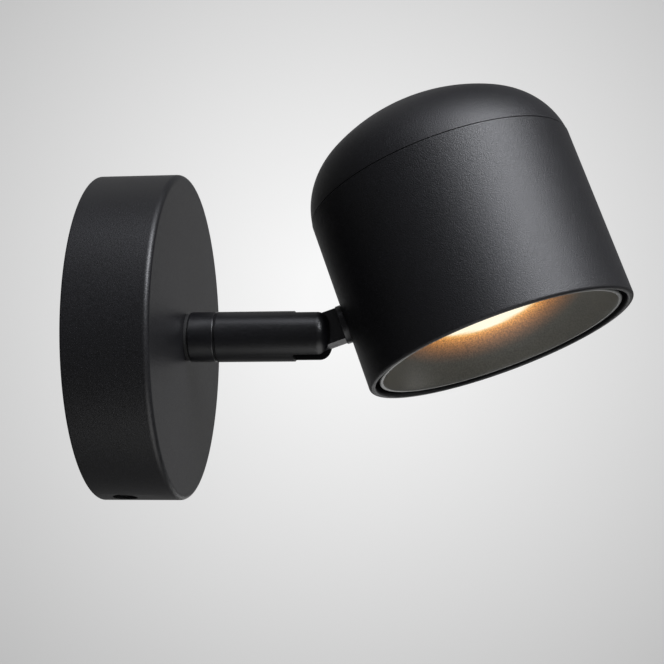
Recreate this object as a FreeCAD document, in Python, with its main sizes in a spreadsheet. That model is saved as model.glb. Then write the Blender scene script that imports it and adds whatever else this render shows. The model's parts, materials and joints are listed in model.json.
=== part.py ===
import FreeCAD, Part
import math
import os
import Sketcher

# Pivoting spotlight wall light. Origin: centre of the canopy's back, on the wall.
# +X comes out of the wall along the arm, +Z is up, +Y is to the right as seen from the room.
# The arm turns about X, and the head tilts about the cross pivot in the arm's fork.

Vector = FreeCAD.Vector
Rotation = FreeCAD.Rotation
Placement = FreeCAD.Placement

doc = FreeCAD.newDocument("SpotWallLight")
sheet = doc.addObject("Spreadsheet::Sheet", "Sizes")


class Size:
    # A size with its value and the formula that gives it from the sheet's cells.
    def __init__(self, value, formula):
        self.value = value
        self.formula = formula

    def __add__(self, other):
        other = size(other)
        return Size(self.value + other.value, f"({self.formula} + {other.formula})")

    def __sub__(self, other):
        other = size(other)
        return Size(self.value - other.value, f"({self.formula} - {other.formula})")

    def __mul__(self, other):
        other = size(other)
        return Size(self.value * other.value, f"({self.formula} * {other.formula})")

    def __truediv__(self, other):
        other = size(other)
        return Size(self.value / other.value, f"({self.formula} / {other.formula})")

    def __neg__(self):
        return Size(-self.value, f"(0 - {self.formula})")

    def __radd__(self, other):
        return size(other) + self

    def __rsub__(self, other):
        return size(other) - self

    def __rmul__(self, other):
        return size(other) * self


def size(number):
    return number if isinstance(number, Size) else Size(float(number), f"({number})")


def root(number):
    return Size(math.sqrt(number.value), f"sqrt({number.formula})")


sheetRow = 0


def given(alias, value, meaning):
    # One driving dimension: its meaning, its plain number and its alias.
    global sheetRow
    sheetRow += 1
    sheet.set(f"A{sheetRow}", meaning)
    sheet.set(f"B{sheetRow}", str(value))
    sheet.setAlias(f"B{sheetRow}", alias)
    return Size(float(value), f"Sizes.{alias}")


# ---- Driving dimensions, mm and degrees

# canopy
coverRadius = given("coverRadius", 50, "canopy outer radius")
coverDepth = given("coverDepth", 25.3, "canopy depth from the wall")
coverWall = given("coverWall", 1.5, "canopy wall")
coverEdge = given("coverEdge", 1.6, "rounding of the canopy's front edge")
plateGap = given("plateGap", 4.5, "mounting plate's edge to the canopy wall")
plateThick = given("plateThick", 1.5, "mounting plate thickness")
earWidth = given("earWidth", 16, "width of the plate's bent ears")
earDepth = given("earDepth", 13.6, "how far the ears stand off the wall")
earGap = given("earGap", 1.8, "gap from ear to canopy wall")
lockPlace = given("lockPlace", 8.8, "locking screws' distance from the wall")
lockHole = given("lockHole", 3.75, "radius of the canopy's locking holes")
lockHead = given("lockHead", 3.4, "locking screw head radius")
lockHeadTall = given("lockHeadTall", 2.4, "locking screw head height")
lockShank = given("lockShank", 2, "locking screw shank radius")
lockLength = given("lockLength", 8, "locking screw shank length")
slotSpacing = given("slotSpacing", 60, "distance between the wall screw slots")
slotWidth = given("slotWidth", 4.5, "wall screw slot width")
slotLength = given("slotLength", 9, "wall screw slot length, end to end")
entryRadius = given("entryRadius", 7, "cable entry radius in the plate")
entryY = given("entryY", -17, "cable entry place along Y")
entryZ = given("entryZ", 24, "cable entry place along Z")
grommetWall = given("grommetWall", 1.4, "grommet wall inside the entry")
grommetLip = given("grommetLip", 2, "grommet lip beyond the entry")
grommetTall = given("grommetTall", 2.5, "grommet lip height above the plate")
earthY = given("earthY", -8, "earth screw place along Y")
earthZ = given("earthZ", -24, "earth screw place along Z")

# driver and terminals
driverNear = given("driverNear", 13, "driver case side nearest the arm")
driverWide = given("driverWide", 24, "driver case width")
driverLong = given("driverLong", 48, "driver case length")
driverTall = given("driverTall", 17, "driver case height without lid")
driverWall = given("driverWall", 1.2, "driver case wall")
footLong = given("footLong", 6.5, "driver case foot length")
footWide = given("footWide", 12, "driver case foot width")
boardLift = given("boardLift", 2.4, "board height above the case floor")
boardThick = given("boardThick", 1.6, "circuit board thickness")
terminalWide = given("terminalWide", 15, "terminal block width")
terminalLong = given("terminalLong", 21, "terminal block length")
terminalTall = given("terminalTall", 11, "terminal block height")
terminalFar = given("terminalFar", 38, "terminal block's far side from the arm axis")
poleSpacing = given("poleSpacing", 6.5, "distance between terminal poles")

# arm
armRadius = given("armRadius", 7.75, "outer radius of collar and barrel")
spacerThick = given("spacerThick", 1.2, "spacer under the collar")
spacerInset = given("spacerInset", 0.55, "spacer radius under the collar's")
collarLength = given("collarLength", 8, "collar length")
tailRadius = given("tailRadius", 5, "threaded tail radius, M10")
tailLong = given("tailLong", 12.8, "tail length behind the canopy's face")
tailBore = given("tailBore", 3.58, "bore of the tail for the spindle")
tailNutFlats = given("tailNutFlats", 14, "tail nut across flats")
tailNutThick = given("tailNutThick", 4, "tail nut thickness")
tailWasherRadius = given("tailWasherRadius", 9, "tail washer radius")
washerThick = given("washerThick", 1, "tail and saddle washer thickness")
thrustThick = given("thrustThick", 0.4, "thrust washer, the arm's fine groove")
barrelLong = given("barrelLong", 35, "barrel length with its nose")
noseRound = given("noseRound", 3.75, "rounding of the barrel's nose")
grooveChamfer = given("grooveChamfer", 0.3, "chamfer beside the groove")
spindleRadius = given("spindleRadius", 3.5, "spindle radius")
spindleBore = given("spindleBore", 2, "spindle wire bore radius")
spindleOver = given("spindleOver", 0.7, "spindle length past its nut")
spindleSeat = given("spindleSeat", 10, "spindle length inside the barrel")
springThick = given("springThick", 0.8, "spindle spring washer thickness")
springRadius = given("springRadius", 6, "spindle spring washer radius")
spindleNutFlats = given("spindleNutFlats", 11, "spindle nut across flats")
spindleNutThick = given("spindleNutThick", 4, "spindle nut thickness")
barrelBore = given("barrelBore", 2.6, "wire bore radius in the barrel")
stopInset = given("stopInset", 1.95, "stop pin's middle to the arm's outside")
stopRadius = given("stopRadius", 0.75, "stop pin radius")
stopStands = given("stopStands", 1.5, "stop pin length inside the barrel's groove")
stopSeat = given("stopSeat", 3, "stop pin length in the collar")
swivelRange = given("swivelRange", 330, "whole turn of the arm, degrees")
stopSlack = given("stopSlack", 2, "turn left past the stated range, degrees")

# pivot
pivotInset = given("pivotInset", 5.8, "tilt pivot to the barrel's nose")
slotHalf = given("slotHalf", 4, "half the fork slot's width")
tongueRadius = given("tongueRadius", 5, "knuckle tongue radius")
frictionThick = given("frictionThick", 0.5, "friction washer thickness")
frictionRadius = given("frictionRadius", 4.6, "friction washer radius")
pivotRadius = given("pivotRadius", 2, "tilt screw shank radius")
pivotHead = given("pivotHead", 3.3, "tilt screw head radius")
pivotSink = given("pivotSink", 2.55, "tilt screw head seat under the arm's outside")
pivotHeadTall = given("pivotHeadTall", 1.8, "tilt screw head height")
pivotSkin = given("pivotSkin", 1.15, "near cheek left over the tilt screw")
runFit = given("runFit", 0.08, "radial clearance of running fits")
fixFit = given("fixFit", 0.05, "radial clearance of fixed fits")
swingGap = given("swingGap", 0.3, "tongue to slot end")

# head
neckLong = given("neckLong", 11.1, "pivot to the head's outside")
headRadius = given("headRadius", 41.9, "head outer radius")
headWall = given("headWall", 2, "head wall")
headStraight = given("headStraight", 52.65, "rim to where the dome starts")
cornerRadius = given("cornerRadius", 22.64, "dome's outer curve")
crownRadius = given("crownRadius", 57.7, "dome's crown curve")
rimBelow = given("rimBelow", 22.8, "rim below the pivot, along the head axis")
rimRound = given("rimRound", 0.7, "rounding of the rim")
seamPlace = given("seamPlace", 54.8, "rim to seam")
seamGap = given("seamGap", 0.25, "seam width")
spigotWall = given("spigotWall", 1.9, "cap spigot wall")
ledgePlace = given("ledgePlace", 45, "rim to the ledge's top")
ledgeThick = given("ledgeThick", 1.5, "ledge thickness")
ledgeWide = given("ledgeWide", 2.4, "ledge width")
sinkThick = given("sinkThick", 4.5, "heat sink disc thickness")
sinkGap = given("sinkGap", 0.2, "heat sink to head wall")
finTall = given("finTall", 10, "fin height")
finThick = given("finThick", 1.4, "fin thickness")
finInset = given("finInset", 10.4, "fins' ends to the head's inside")
hubRadius = given("hubRadius", 8.5, "heat sink hub radius")
capScrewInset = given("capScrewInset", 4.7, "cap screws to the head's inside")
capScrewRadius = given("capScrewRadius", 1.5, "cap screw radius")
capScrewLong = given("capScrewLong", 18.5, "cap screw length")
capScrewHead = given("capScrewHead", 2.7, "cap screw head radius")
lugRadius = given("lugRadius", 3.4, "lug and boss radius")
lugTall = given("lugTall", 3.5, "lug height under the ledge")
bossTall = given("bossTall", 14.5, "cap boss height")
flangeRadius = given("flangeRadius", 6.05, "knuckle flange radius")
flangeThick = given("flangeThick", 1.7, "knuckle flange thickness")
studRadius = given("studRadius", 4, "knuckle stud radius")
studLong = given("studLong", 8.7, "knuckle stud length beyond the head's outside")
wireBore = given("wireBore", 2.2, "wire bore radius in the knuckle")
hubClear = given("hubClear", 3, "radius left round the tilt screw in the tongue")
knuckleNutFlats = given("knuckleNutFlats", 13, "knuckle nut across flats")
knuckleNutThick = given("knuckleNutThick", 3.8, "knuckle nut thickness")

# lamp and reflector
ledRadius = given("ledRadius", 18, "light module plate radius")
ledPlace = given("ledPlace", 33.2, "rim to the module's lit face")
chipRadius = given("chipRadius", 7, "emitter radius")
chipThick = given("chipThick", 0.8, "emitter thickness")
padThick = given("padThick", 0.5, "thermal pad thickness")
holderThick = given("holderThick", 2.3, "holder plate thickness")
collarRadius = given("collarRadius", 10.3, "holder collar radius")
collarTall = given("collarTall", 3.4, "holder collar height")
diffuserThick = given("diffuserThick", 1.2, "diffuser thickness")
holderScrewPlace = given("holderScrewPlace", 14.6, "holder screws from the head axis")
holderScrewRadius = given("holderScrewRadius", 1.2, "holder screw radius")
holderScrewHead = given("holderScrewHead", 2.2, "holder screw head radius")
mouthGap = given("mouthGap", 1.5, "gap between reflector and head wall")
mouthInset = given("mouthInset", 0.8, "reflector mouth behind the rim")
reflectorWall = given("reflectorWall", 1.2, "reflector wall")
throatRadius = given("throatRadius", 9.2, "reflector throat radius")
bowlCurve = given("bowlCurve", 34, "reflector's inner curve")

# rest pose
armRoll = given("armRoll", -12.4, "arm's turn at rest, degrees")
lockTurn = given("lockTurn", -16, "locking screws' turn from upright about the arm axis, degrees")
headTilt = given("headTilt", 19.7, "head's tilt at rest, degrees")

# ---- Places that follow from the sizes

coverInside = coverRadius - coverWall
plateRadius = coverInside - plateGap
tailBack = coverDepth - coverWall - tailLong
collarStart = coverDepth + spacerThick
collarEnd = collarStart + collarLength
barrelStart = collarEnd + thrustThick
barrelEnd = barrelStart + barrelLong
pivotPlace = barrelEnd - pivotInset
pivotSeat = armRadius - pivotSink
pivotDepth = armRadius - pivotSkin
stopPlace = armRadius - stopInset
spindleNutEnd = tailBack - springThick
spindleBack = spindleNutEnd - spindleNutThick - spindleOver
spindleEnd = barrelStart + spindleSeat
slotBottom = pivotPlace - tongueRadius - swingGap
tongueHalf = slotHalf - frictionThick
wallPlace = neckLong
headAway = wallPlace + headRadius
headInside = headRadius - headWall
finOut = headInside - finInset
capScrewPlace = headInside - capScrewInset
mouthRadius = headInside - mouthGap
ledgeInside = headInside - ledgeWide
sinkTop = ledgePlace + sinkThick
boardPlace = ledPlace + boardThick
pedestalPlace = boardPlace + padThick
holderPlace = ledPlace - holderThick
diffuserPlace = holderPlace - collarTall - diffuserThick
throatPlace = diffuserPlace - reflectorWall
driverFar = driverNear + driverWide
driverMiddle = driverNear + driverWide / 2
driverFloor = plateThick + driverWall
boardTop = driverFloor + boardLift + boardThick
earOutside = coverInside - earGap
terminalMiddle = terminalWide / 2 - terminalFar

wallFrame = Placement()
lockFrame = Placement(Vector(), Rotation(Vector(1, 0, 0), lockTurn.value))
armFrame = Placement(Vector(), Rotation(Vector(1, 0, 0), armRoll.value))
pivotFrame = armFrame * Placement(Vector(pivotPlace.value, 0, 0), Rotation(Vector(0, 1, 0), -headTilt.value))
headFrame = pivotFrame * Placement(Vector(headAway.value, 0, -rimBelow.value), Rotation())


# ---- Building blocks

def bind(item, **sizes):
    for name, amount in sizes.items():
        amount = size(amount)
        setattr(item, name, amount.value)
        item.setExpression(name, amount.formula)


def place(item, where, turn=Rotation()):
    where = [size(amount) for amount in where]
    item.Placement = Placement(Vector(*[amount.value for amount in where]), turn)
    for letter, amount in zip("xyz", where):
        item.setExpression(f"Placement.Base.{letter}", amount.formula)


turnTo = {"X": Rotation(Vector(0, 1, 0), 90), "Y": Rotation(Vector(1, 0, 0), -90), "Z": Rotation()}


def along(axis, start, across):
    # A point at start on the axis, off it by across, which gives the other two coordinates in turn.
    first, second = across
    return {"X": (start, first, second), "Y": (first, start, second), "Z": (first, second, start)}[axis]


def rod(name, radius, start, end, axis="X", across=(0, 0), angle=360):
    item = doc.addObject("Part::Cylinder", name)
    bind(item, Radius=radius, Height=size(end) - size(start), Angle=angle)
    place(item, along(axis, start, across), turnTo[axis])
    return item


def hexagon(name, flats, start, end, axis="X"):
    item = doc.addObject("Part::Prism", name)
    item.Polygon = 6
    bind(item, Circumradius=flats / math.sqrt(3), Height=size(end) - size(start))
    place(item, along(axis, start, (0, 0)), turnTo[axis])
    return item


def block(name, xs, ys, zs):
    item = doc.addObject("Part::Box", name)
    lows = [size(pair[0]) for pair in (xs, ys, zs)]
    highs = [size(pair[1]) for pair in (xs, ys, zs)]
    length, width, height = [high - low for low, high in zip(lows, highs)]
    bind(item, Length=length, Width=width, Height=height)
    place(item, lows)
    return item


def joined(name, *items):
    fuse = doc.addObject("Part::MultiFuse", name)
    fuse.Shapes = list(items)
    fuse.Refine = True
    return fuse


def cutAway(name, base, *tools):
    cut = doc.addObject("Part::Cut", name)
    cut.Base = base
    cut.Tool = tools[0] if len(tools) == 1 else joined(name + "Tools", *tools)
    cut.Refine = True
    return cut


def grouped(name, *items):
    group = doc.addObject("Part::Compound", name)
    group.Links = list(items)
    return group


def washer(name, outer, inner, start, end, axis="X", across=(0, 0)):
    return cutAway(name, rod(name + "Disc", outer, start, end, axis, across),
                   rod(name + "Hole", inner, start, end, axis, across))


def screw(name, head, shank, tip, seat, top, axis="X", across=(0, 0)):
    # A pan head from seat to top and a shank from tip to seat, on either side of the seat.
    low, high = sorted((seat, top), key=lambda amount: size(amount).value)
    first, last = sorted((tip, seat), key=lambda amount: size(amount).value)
    socketLow = (size(top) + size(seat)) / 2
    ends = sorted((socketLow, size(top)), key=lambda amount: amount.value)
    solid = joined(name + "Blank", rod(name + "Head", head, low, high, axis, across),
                   rod(name + "Shank", shank, first, last, axis, across))
    driveShare = 0.45  # the drive's radius to the head's
    return cutAway(name, solid, rod(name + "Drive", size(head) * driveShare, *ends, axis, across))


def arcCentre(start, end, radius):
    # The centre of the short arc; a positive radius bulges to the left of the way from start to end.
    middle = (start + end) / 2
    chord = end - start
    height = math.sqrt(max(radius ** 2 - chord.Length ** 2 / 4, 0))
    left = Vector(-chord.y, chord.x, 0).normalize()
    return middle - left * math.copysign(height, radius)


def outlined(body, outline, plane="XZ_Plane", lift=0):
    # A closed outline. A point is (x, y), or (x, y, radius) where an arc leaves it.
    sketch = body.newObject("Sketcher::SketchObject", body.Name + "Outline")
    origin = [item for item in body.Origin.OriginFeatures if item.Role == plane][0]
    sketch.AttachmentSupport = (origin, [""])
    sketch.MapMode = "FlatFace"
    lift = size(lift)
    sketch.AttachmentOffset = Placement(Vector(0, 0, lift.value), Rotation())
    sketch.setExpression("AttachmentOffset.Base.z", lift.formula)
    points = [Vector(size(point[0]).value, size(point[1]).value, 0) for point in outline]
    count = len(outline)
    for index, point in enumerate(outline):
        start, end = points[index], points[(index + 1) % count]
        if len(point) == 2:
            sketch.addGeometry(Part.LineSegment(start, end))
            continue
        radius = point[2].value
        centre = arcCentre(start, end, radius)
        middle = (start + end) / 2 - centre
        if middle.Length < 1e-9:
            middle = (start - centre).cross(Vector(0, 0, 1))
        crest = centre + middle.normalize() * abs(radius)
        sketch.addGeometry(Part.Arc(start, crest, end))
    edges = []
    for index, point in enumerate(outline):
        # Arcs run anticlockwise in a sketch, so a clockwise one has its ends the other way round.
        clockwise = len(point) == 3 and point[2].value > 0
        edges.append((2, 1) if clockwise else (1, 2))
    for index in range(count):
        following = (index + 1) % count
        sketch.addConstraint(Sketcher.Constraint("Coincident", index, edges[index][1],
                                                 following, edges[following][0]))
    for index, point in enumerate(outline):
        for kind, amount, axis in (("DistanceX", point[0], -2), ("DistanceY", point[1], -1)):
            amount = size(amount)
            corner = edges[index][0]
            if amount.value == 0:
                sketch.addConstraint(Sketcher.Constraint("PointOnObject", index, corner, axis))
                continue
            number = sketch.addConstraint(Sketcher.Constraint(kind, -1, 1, index, corner, amount.value))
            sketch.setExpression(f"Constraints[{number}]", amount.formula)
        if len(point) == 3:
            bend = point[2] if point[2].value > 0 else -point[2]
            number = sketch.addConstraint(Sketcher.Constraint("Radius", index, bend.value))
            sketch.setExpression(f"Constraints[{number}]", bend.formula)
    return sketch


def turned(name, outline, axis="X"):
    # A body of revolution: outline points are (x, radius) about X, or (radius, z) about Z.
    body = doc.addObject("PartDesign::Body", name)
    sketch = outlined(body, outline)
    turn = body.newObject("PartDesign::Revolution", name + "Turn")
    turn.Profile = sketch
    turn.ReferenceAxis = (sketch, ["H_Axis" if axis == "X" else "V_Axis"])
    turn.Angle = 360
    return body


pieces = []


def piece(label, item, frame):
    item.Label = label
    for letter in "xyz":
        item.setExpression(f"Placement.Base.{letter}", None)
    item.Placement = frame * item.Placement
    pieces.append(item)
    return item


def around(radius, degrees):
    angle = math.radians(degrees)
    return radius * math.cos(angle), radius * math.sin(angle)


# ---- Canopy and what it hides

def canopyCover():
    face = coverDepth - coverWall
    hole = tailRadius + fixFit
    cup = turned("coverCup", [
        (0, coverRadius), (coverDepth - coverEdge, coverRadius, coverEdge),
        (coverDepth, coverRadius - coverEdge), (coverDepth, hole), (face, hole),
        (face, coverInside), (0, coverInside)])
    reach = coverRadius + coverWall
    holes = rod("coverHoles", lockHole, -reach, reach, "Z", (lockPlace, 0))
    inside = rod("coverHolesKeep", coverInside, -1, coverDepth)
    piece("canopy_cover", cutAway("cover", cup, cutAway("coverHoleEnds", holes, inside)), lockFrame)


def mountingPlate():
    half = earWidth / 2
    start = plateRadius - earGap * 2
    inner = earOutside - plateThick
    arms = [block("plateNeckTop", (0, plateThick), (-half, half), (start, earOutside))]
    arms.append(block("plateNeckFoot", (0, plateThick), (-half, half), (-earOutside, -start)))
    arms.append(block("plateEarTop", (0, earDepth), (-half, half), (inner, earOutside)))
    arms.append(block("plateEarFoot", (0, earDepth), (-half, half), (-earOutside, -inner)))
    holes = rod("plateLockHoles", lockShank + fixFit, -earOutside, earOutside, "Z", (lockPlace, 0))
    ears = cutAway("plateEars", joined("plateEarBlank", *arms), holes)
    ears.Placement = lockFrame
    disc = rod("plateDisc", plateRadius, 0, plateThick)
    tools = [rod("plateEntry", entryRadius, 0, plateThick, "X", (entryY, entryZ))]
    tools.append(rod("plateEarthHole", lockShank + fixFit, 0, plateThick, "X", (earthY, earthZ)))
    wide = slotWidth / 2
    run = (slotLength - slotWidth) / 2
    for side in (-1, 1):
        middle = slotSpacing / 2 * side
        tools.append(block("plateSlot", (0, plateThick), (-wide, wide), (middle - run, middle + run)))
        tools.append(rod("plateSlotLow", wide, 0, plateThick, "X", (0, middle - run)))
        tools.append(rod("plateSlotHigh", wide, 0, plateThick, "X", (0, middle + run)))
        foot = (driverLong + footLong) / 2 * side
        tools.append(rod("plateDriverHole", lockShank + fixFit, 0, plateThick, "X", (driverMiddle, foot)))
    piece("mounting_plate", cutAway("plate", joined("plateBlank", disc, ears), *tools), wallFrame)


def lockScrews():
    screws = []
    for side in (-1, 1):
        seat = earOutside * side
        screws.append(screw("lockScrew", lockHead, lockShank, seat - lockLength * side, seat,
                            seat + lockHeadTall * side, "Z", (lockPlace, 0)))
    piece("cover_lock_screws", grouped("lockScrews", *screws), lockFrame)


def grommet():
    bore = entryRadius - grommetWall
    lip = washer("grommetLipRing", entryRadius + grommetLip, bore, plateThick,
                 plateThick + grommetTall, "X", (entryY, entryZ))
    sleeve = washer("grommetSleeve", entryRadius - fixFit, bore, 0, plateThick, "X", (entryY, entryZ))
    piece("cable_grommet", joined("grommet", lip, sleeve), wallFrame)


def earthScrew():
    top = plateThick + lockHeadTall
    piece("earth_screw", screw("earth", lockHead, lockShank, 0, plateThick, top, "X", (earthY, earthZ)),
          wallFrame)


def terminals():
    near = terminalWide - terminalFar
    half = terminalLong / 2
    top = plateThick + terminalTall
    wireRadius = poleSpacing * 0.28  # leaves a wall between the poles
    wayHeight = terminalTall * 0.4
    body = block("terminalBody", (plateThick, top), (-terminalFar, near), (-half, half))
    tools = []
    screws = []
    for pole in (-1, 0, 1):
        spot = poleSpacing * pole
        tools.append(rod("terminalWay", wireRadius, -terminalFar, near, "Y",
                         (plateThick + wayHeight, spot)))
        tools.append(rod("terminalWell", wireRadius, plateThick + wayHeight, top, "X",
                         (terminalMiddle, spot)))
        screws.append(rod("terminalScrew", wireRadius - fixFit, top - wayHeight, top - wayHeight / 4,
                          "X", (terminalMiddle, spot)))
    piece("terminal_block", cutAway("terminal", body, *tools), wallFrame)
    piece("terminal_screws", grouped("terminalScrews", *screws), wallFrame)


def driver():
    half = driverLong / 2
    top = plateThick + driverTall
    wide = footWide / 2
    outer = [block("caseBlock", (plateThick, top), (driverNear, driverFar), (-half, half))]
    tools = [block("caseRoom", (driverFloor, top), (driverNear + driverWall, driverFar - driverWall),
                   (driverWall - half, half - driverWall))]
    screws = []
    footHead = footLong * 0.42  # the screw head stays on its foot
    for side in (-1, 1):
        ends = sorted((half * side, (half + footLong) * side), key=lambda amount: amount.value)
        outer.append(block("caseFoot", (plateThick, driverFloor),
                           (driverMiddle - wide, driverMiddle + wide), ends))
        foot = (driverLong + footLong) / 2 * side
        tools.append(rod("caseFootHole", lockShank + fixFit, plateThick, driverFloor, "X",
                         (driverMiddle, foot)))
        screws.append(screw("driverScrew", footHead, lockShank, 0, driverFloor,
                            driverFloor + lockHeadTall, "X", (driverMiddle, foot)))
    posts = []
    postRadius = driverWall * 1.4
    postInset = driverWall * 2.4
    for alongZ in (-1, 1):
        for alongY in (-1, 1):
            posts.append(rod("casePost", postRadius, driverFloor, driverFloor + boardLift, "X",
                             (driverMiddle + alongY * (driverWide / 2 - postInset),
                              alongZ * (half - postInset))))
    shell = cutAway("caseShell", joined("caseBlank", *outer), *tools)
    piece("driver_case", joined("case", shell, *posts), wallFrame)
    piece("driver_screws", grouped("driverScrews", *screws), wallFrame)

    gap = driverWall + fixFit * 4
    lip = block("lidLip", (top - driverWall, top), (driverNear + gap, driverFar - gap),
                (gap - half, half - gap))
    sheetTop = block("lidSheet", (top, top + driverWall), (driverNear, driverFar), (-half, half))
    piece("driver_lid", joined("lid", sheetTop, lip), wallFrame)

    board = block("board", (driverFloor + boardLift, boardTop), (driverNear + gap, driverFar - gap),
                  (gap - half, half - gap))
    piece("driver_board", board, wallFrame)
    # Blocks: share of the core's height, run off the case's middle, run along it.
    # Cans: share of the height, radius, place off the middle, place along it.
    coreTall = driverTall * 0.5
    blocks = {"transformer": (1, (-7, 6), (-6, 8)), "choke": (0.7, (1, 8), (-17, -10))}
    cans = {"capacitor": (1, 4, 1, 15.5), "capacitorSmall": (0.8, 3, -5, -13)}
    parts = []
    for name, (share, across, run) in blocks.items():
        parts.append(block(name, (boardTop, boardTop + coreTall * share),
                           (driverMiddle + across[0], driverMiddle + across[1]), run))
    for name, (share, radius, across, spot) in cans.items():
        parts.append(rod(name, radius, boardTop, boardTop + coreTall * share, "X",
                         (driverMiddle + across, spot)))
    piece("driver_parts", grouped("driverParts", *parts), wallFrame)


# ---- Arm: the fixed collar and what holds it

def armCollar():
    shoulder = armRadius - grooveChamfer
    blank = turned("collarBlank", [
        (tailBack, tailBore), (tailBack, tailRadius), (collarStart, tailRadius),
        (collarStart, armRadius), (collarEnd - grooveChamfer, armRadius), (collarEnd, shoulder),
        (collarEnd, tailBore)])
    pinHole = rod("collarPinHole", stopRadius + fixFit, collarEnd - stopSeat, collarEnd, "X",
                  (0, -stopPlace))
    piece("arm_collar", cutAway("collar", blank, pinHole), wallFrame)
    piece("collar_spacer", washer("spacer", armRadius - spacerInset, tailRadius + fixFit, coverDepth,
                                  collarStart), wallFrame)
    inside = coverDepth - coverWall
    washerBack = inside - washerThick
    piece("tail_washer", washer("tailWasher", tailWasherRadius, tailRadius + fixFit, washerBack, inside),
          wallFrame)
    nut = cutAway("tailNut", hexagon("tailNutBlank", tailNutFlats, washerBack - tailNutThick, washerBack),
                  rod("tailNutHole", tailRadius + fixFit, washerBack - tailNutThick, washerBack))
    piece("tail_nut", nut, wallFrame)
    piece("stop_pin", rod("pin", stopRadius, collarEnd - stopSeat, barrelStart + stopStands, "X",
                          (0, -stopPlace)), wallFrame)
    thrust = cutAway("thrust", washer("thrustRing", armRadius - spacerInset, spindleRadius + runFit,
                                      collarEnd, barrelStart),
                     rod("thrustPinHole", stopRadius + fixFit, collarEnd, barrelStart, "X",
                         (0, -stopPlace)))
    piece("thrust_washer", thrust, wallFrame)


# ---- Arm: the barrel that turns, with its spindle

def swivelBarrel():
    shoulder = armRadius - grooveChamfer
    blank = turned("barrelBlank", [
        (barrelStart, 0), (barrelStart, shoulder), (barrelStart + grooveChamfer, armRadius),
        (barrelEnd - noseRound, armRadius, noseRound), (barrelEnd, armRadius - noseRound),
        (barrelEnd, 0)])
    slot = block("barrelSlot", (slotBottom, barrelEnd), (-slotHalf, slotHalf), (-armRadius, armRadius))
    socket = rod("barrelSocket", spindleRadius + fixFit, barrelStart, spindleEnd)
    bore = rod("barrelWireBore", barrelBore, spindleEnd, slotBottom)
    shankHole = rod("barrelScrewHole", pivotRadius + fixFit, -pivotDepth, pivotSeat, "Y", (pivotPlace, 0))
    headRoom = rod("barrelHeadRoom", pivotHead + fixFit, pivotSeat, armRadius, "Y", (pivotPlace, 0))

    # The stop pin runs in a ring groove, and the web left in it is the stop.
    pinAngle = stopRadius / stopPlace * math.degrees(1) * 2
    webAngle = 360 - swivelRange - pinAngle - stopSlack
    grooveEnd = barrelStart + stopStands + fixFit * 10
    ring = rod("stopRing", stopPlace + stopRadius + runFit * 2, barrelStart, grooveEnd,
               angle=360 - webAngle)
    ring.Placement = Placement(ring.Placement.Base,
                               Rotation(Vector(1, 0, 0), 180 + webAngle.value / 2).multiply(turnTo["X"]))
    core = rod("stopCore", stopPlace - stopRadius - runFit * 2, barrelStart, grooveEnd)
    groove = cutAway("stopGroove", ring, core)
    piece("swivel_barrel", cutAway("barrel", blank, slot, socket, bore, shankHole, headRoom, groove),
          armFrame)


def swivelSpindle():
    piece("swivel_spindle", washer("spindle", spindleRadius, spindleBore, spindleBack, spindleEnd),
          armFrame)
    piece("spindle_spring_washer", washer("springWasher", springRadius, spindleRadius + fixFit,
                                          spindleNutEnd, tailBack), armFrame)
    nut = cutAway("spindleNut",
                  hexagon("spindleNutBlank", spindleNutFlats, spindleNutEnd - spindleNutThick,
                          spindleNutEnd),
                  rod("spindleNutHole", spindleRadius + fixFit, spindleNutEnd - spindleNutThick,
                      spindleNutEnd))
    piece("spindle_nut", nut, armFrame)


def tiltScrew():
    washers = [washer("frictionNear", frictionRadius, pivotRadius + runFit, -slotHalf, -tongueHalf, "Y",
                      (pivotPlace, 0)),
               washer("frictionFar", frictionRadius, pivotRadius + runFit, tongueHalf, slotHalf, "Y",
                      (pivotPlace, 0))]
    piece("friction_washers", grouped("frictionWashers", *washers), armFrame)
    piece("tilt_screw", screw("tilt", pivotHead, pivotRadius, -pivotDepth, pivotSeat,
                              pivotSeat + pivotHeadTall, "Y", (pivotPlace, 0)), armFrame)


# ---- Head: the knuckle, in the pivot's own frame

def knuckle():
    flangeStart = wallPlace - flangeThick
    tongue = rod("tongueDisc", tongueRadius, -tongueHalf, tongueHalf, "Y")
    neck = block("neck", (0, flangeStart), (-tongueHalf, tongueHalf), (-tongueRadius, tongueRadius))
    flange = rod("flange", flangeRadius, flangeStart, wallPlace + headWall)
    saddle = rod("flangeSaddle", headRadius + fixFit, -flangeRadius * 2, flangeRadius * 2, "Z",
                 (headAway, 0))
    stud = rod("stud", studRadius, flangeStart, wallPlace + studLong)
    solid = joined("knuckleBlank", tongue, neck, cutAway("flangeOnWall", flange, saddle), stud)
    screwHole = rod("tongueHole", pivotRadius + runFit, -tongueHalf, tongueHalf, "Y")
    wireHole = rod("knuckleBore", wireBore, hubClear + wireBore / 2, wallPlace + studLong)
    wireGap = wireBore / 2
    wireRing = cutAway("wireRing", rod("wireRingOut", tongueRadius + fixFit, -wireGap, wireGap, "Y"),
                       rod("wireRingHub", hubClear, -wireGap, wireGap, "Y"))
    piece("knuckle", cutAway("knuckleSolid", solid, screwHole, wireHole, wireRing), pivotFrame)

    inside = wallPlace + headWall
    seat = inside + washerThick * 1.6
    disc = washer("saddleDisc", flangeRadius, studRadius + fixFit, inside, seat)
    round = rod("saddleRound", headInside - fixFit, -flangeRadius * 2, flangeRadius * 2, "Z",
                (headAway, 0))
    shaped = doc.addObject("Part::Common", "saddleWasher")
    shaped.Base = disc
    shaped.Tool = round
    piece("saddle_washer", shaped, pivotFrame)
    nut = cutAway("knuckleNut", hexagon("knuckleNutBlank", knuckleNutFlats, seat, seat + knuckleNutThick),
                  rod("knuckleNutHole", studRadius + fixFit, seat, seat + knuckleNutThick))
    piece("knuckle_nut", nut, pivotFrame)


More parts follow.
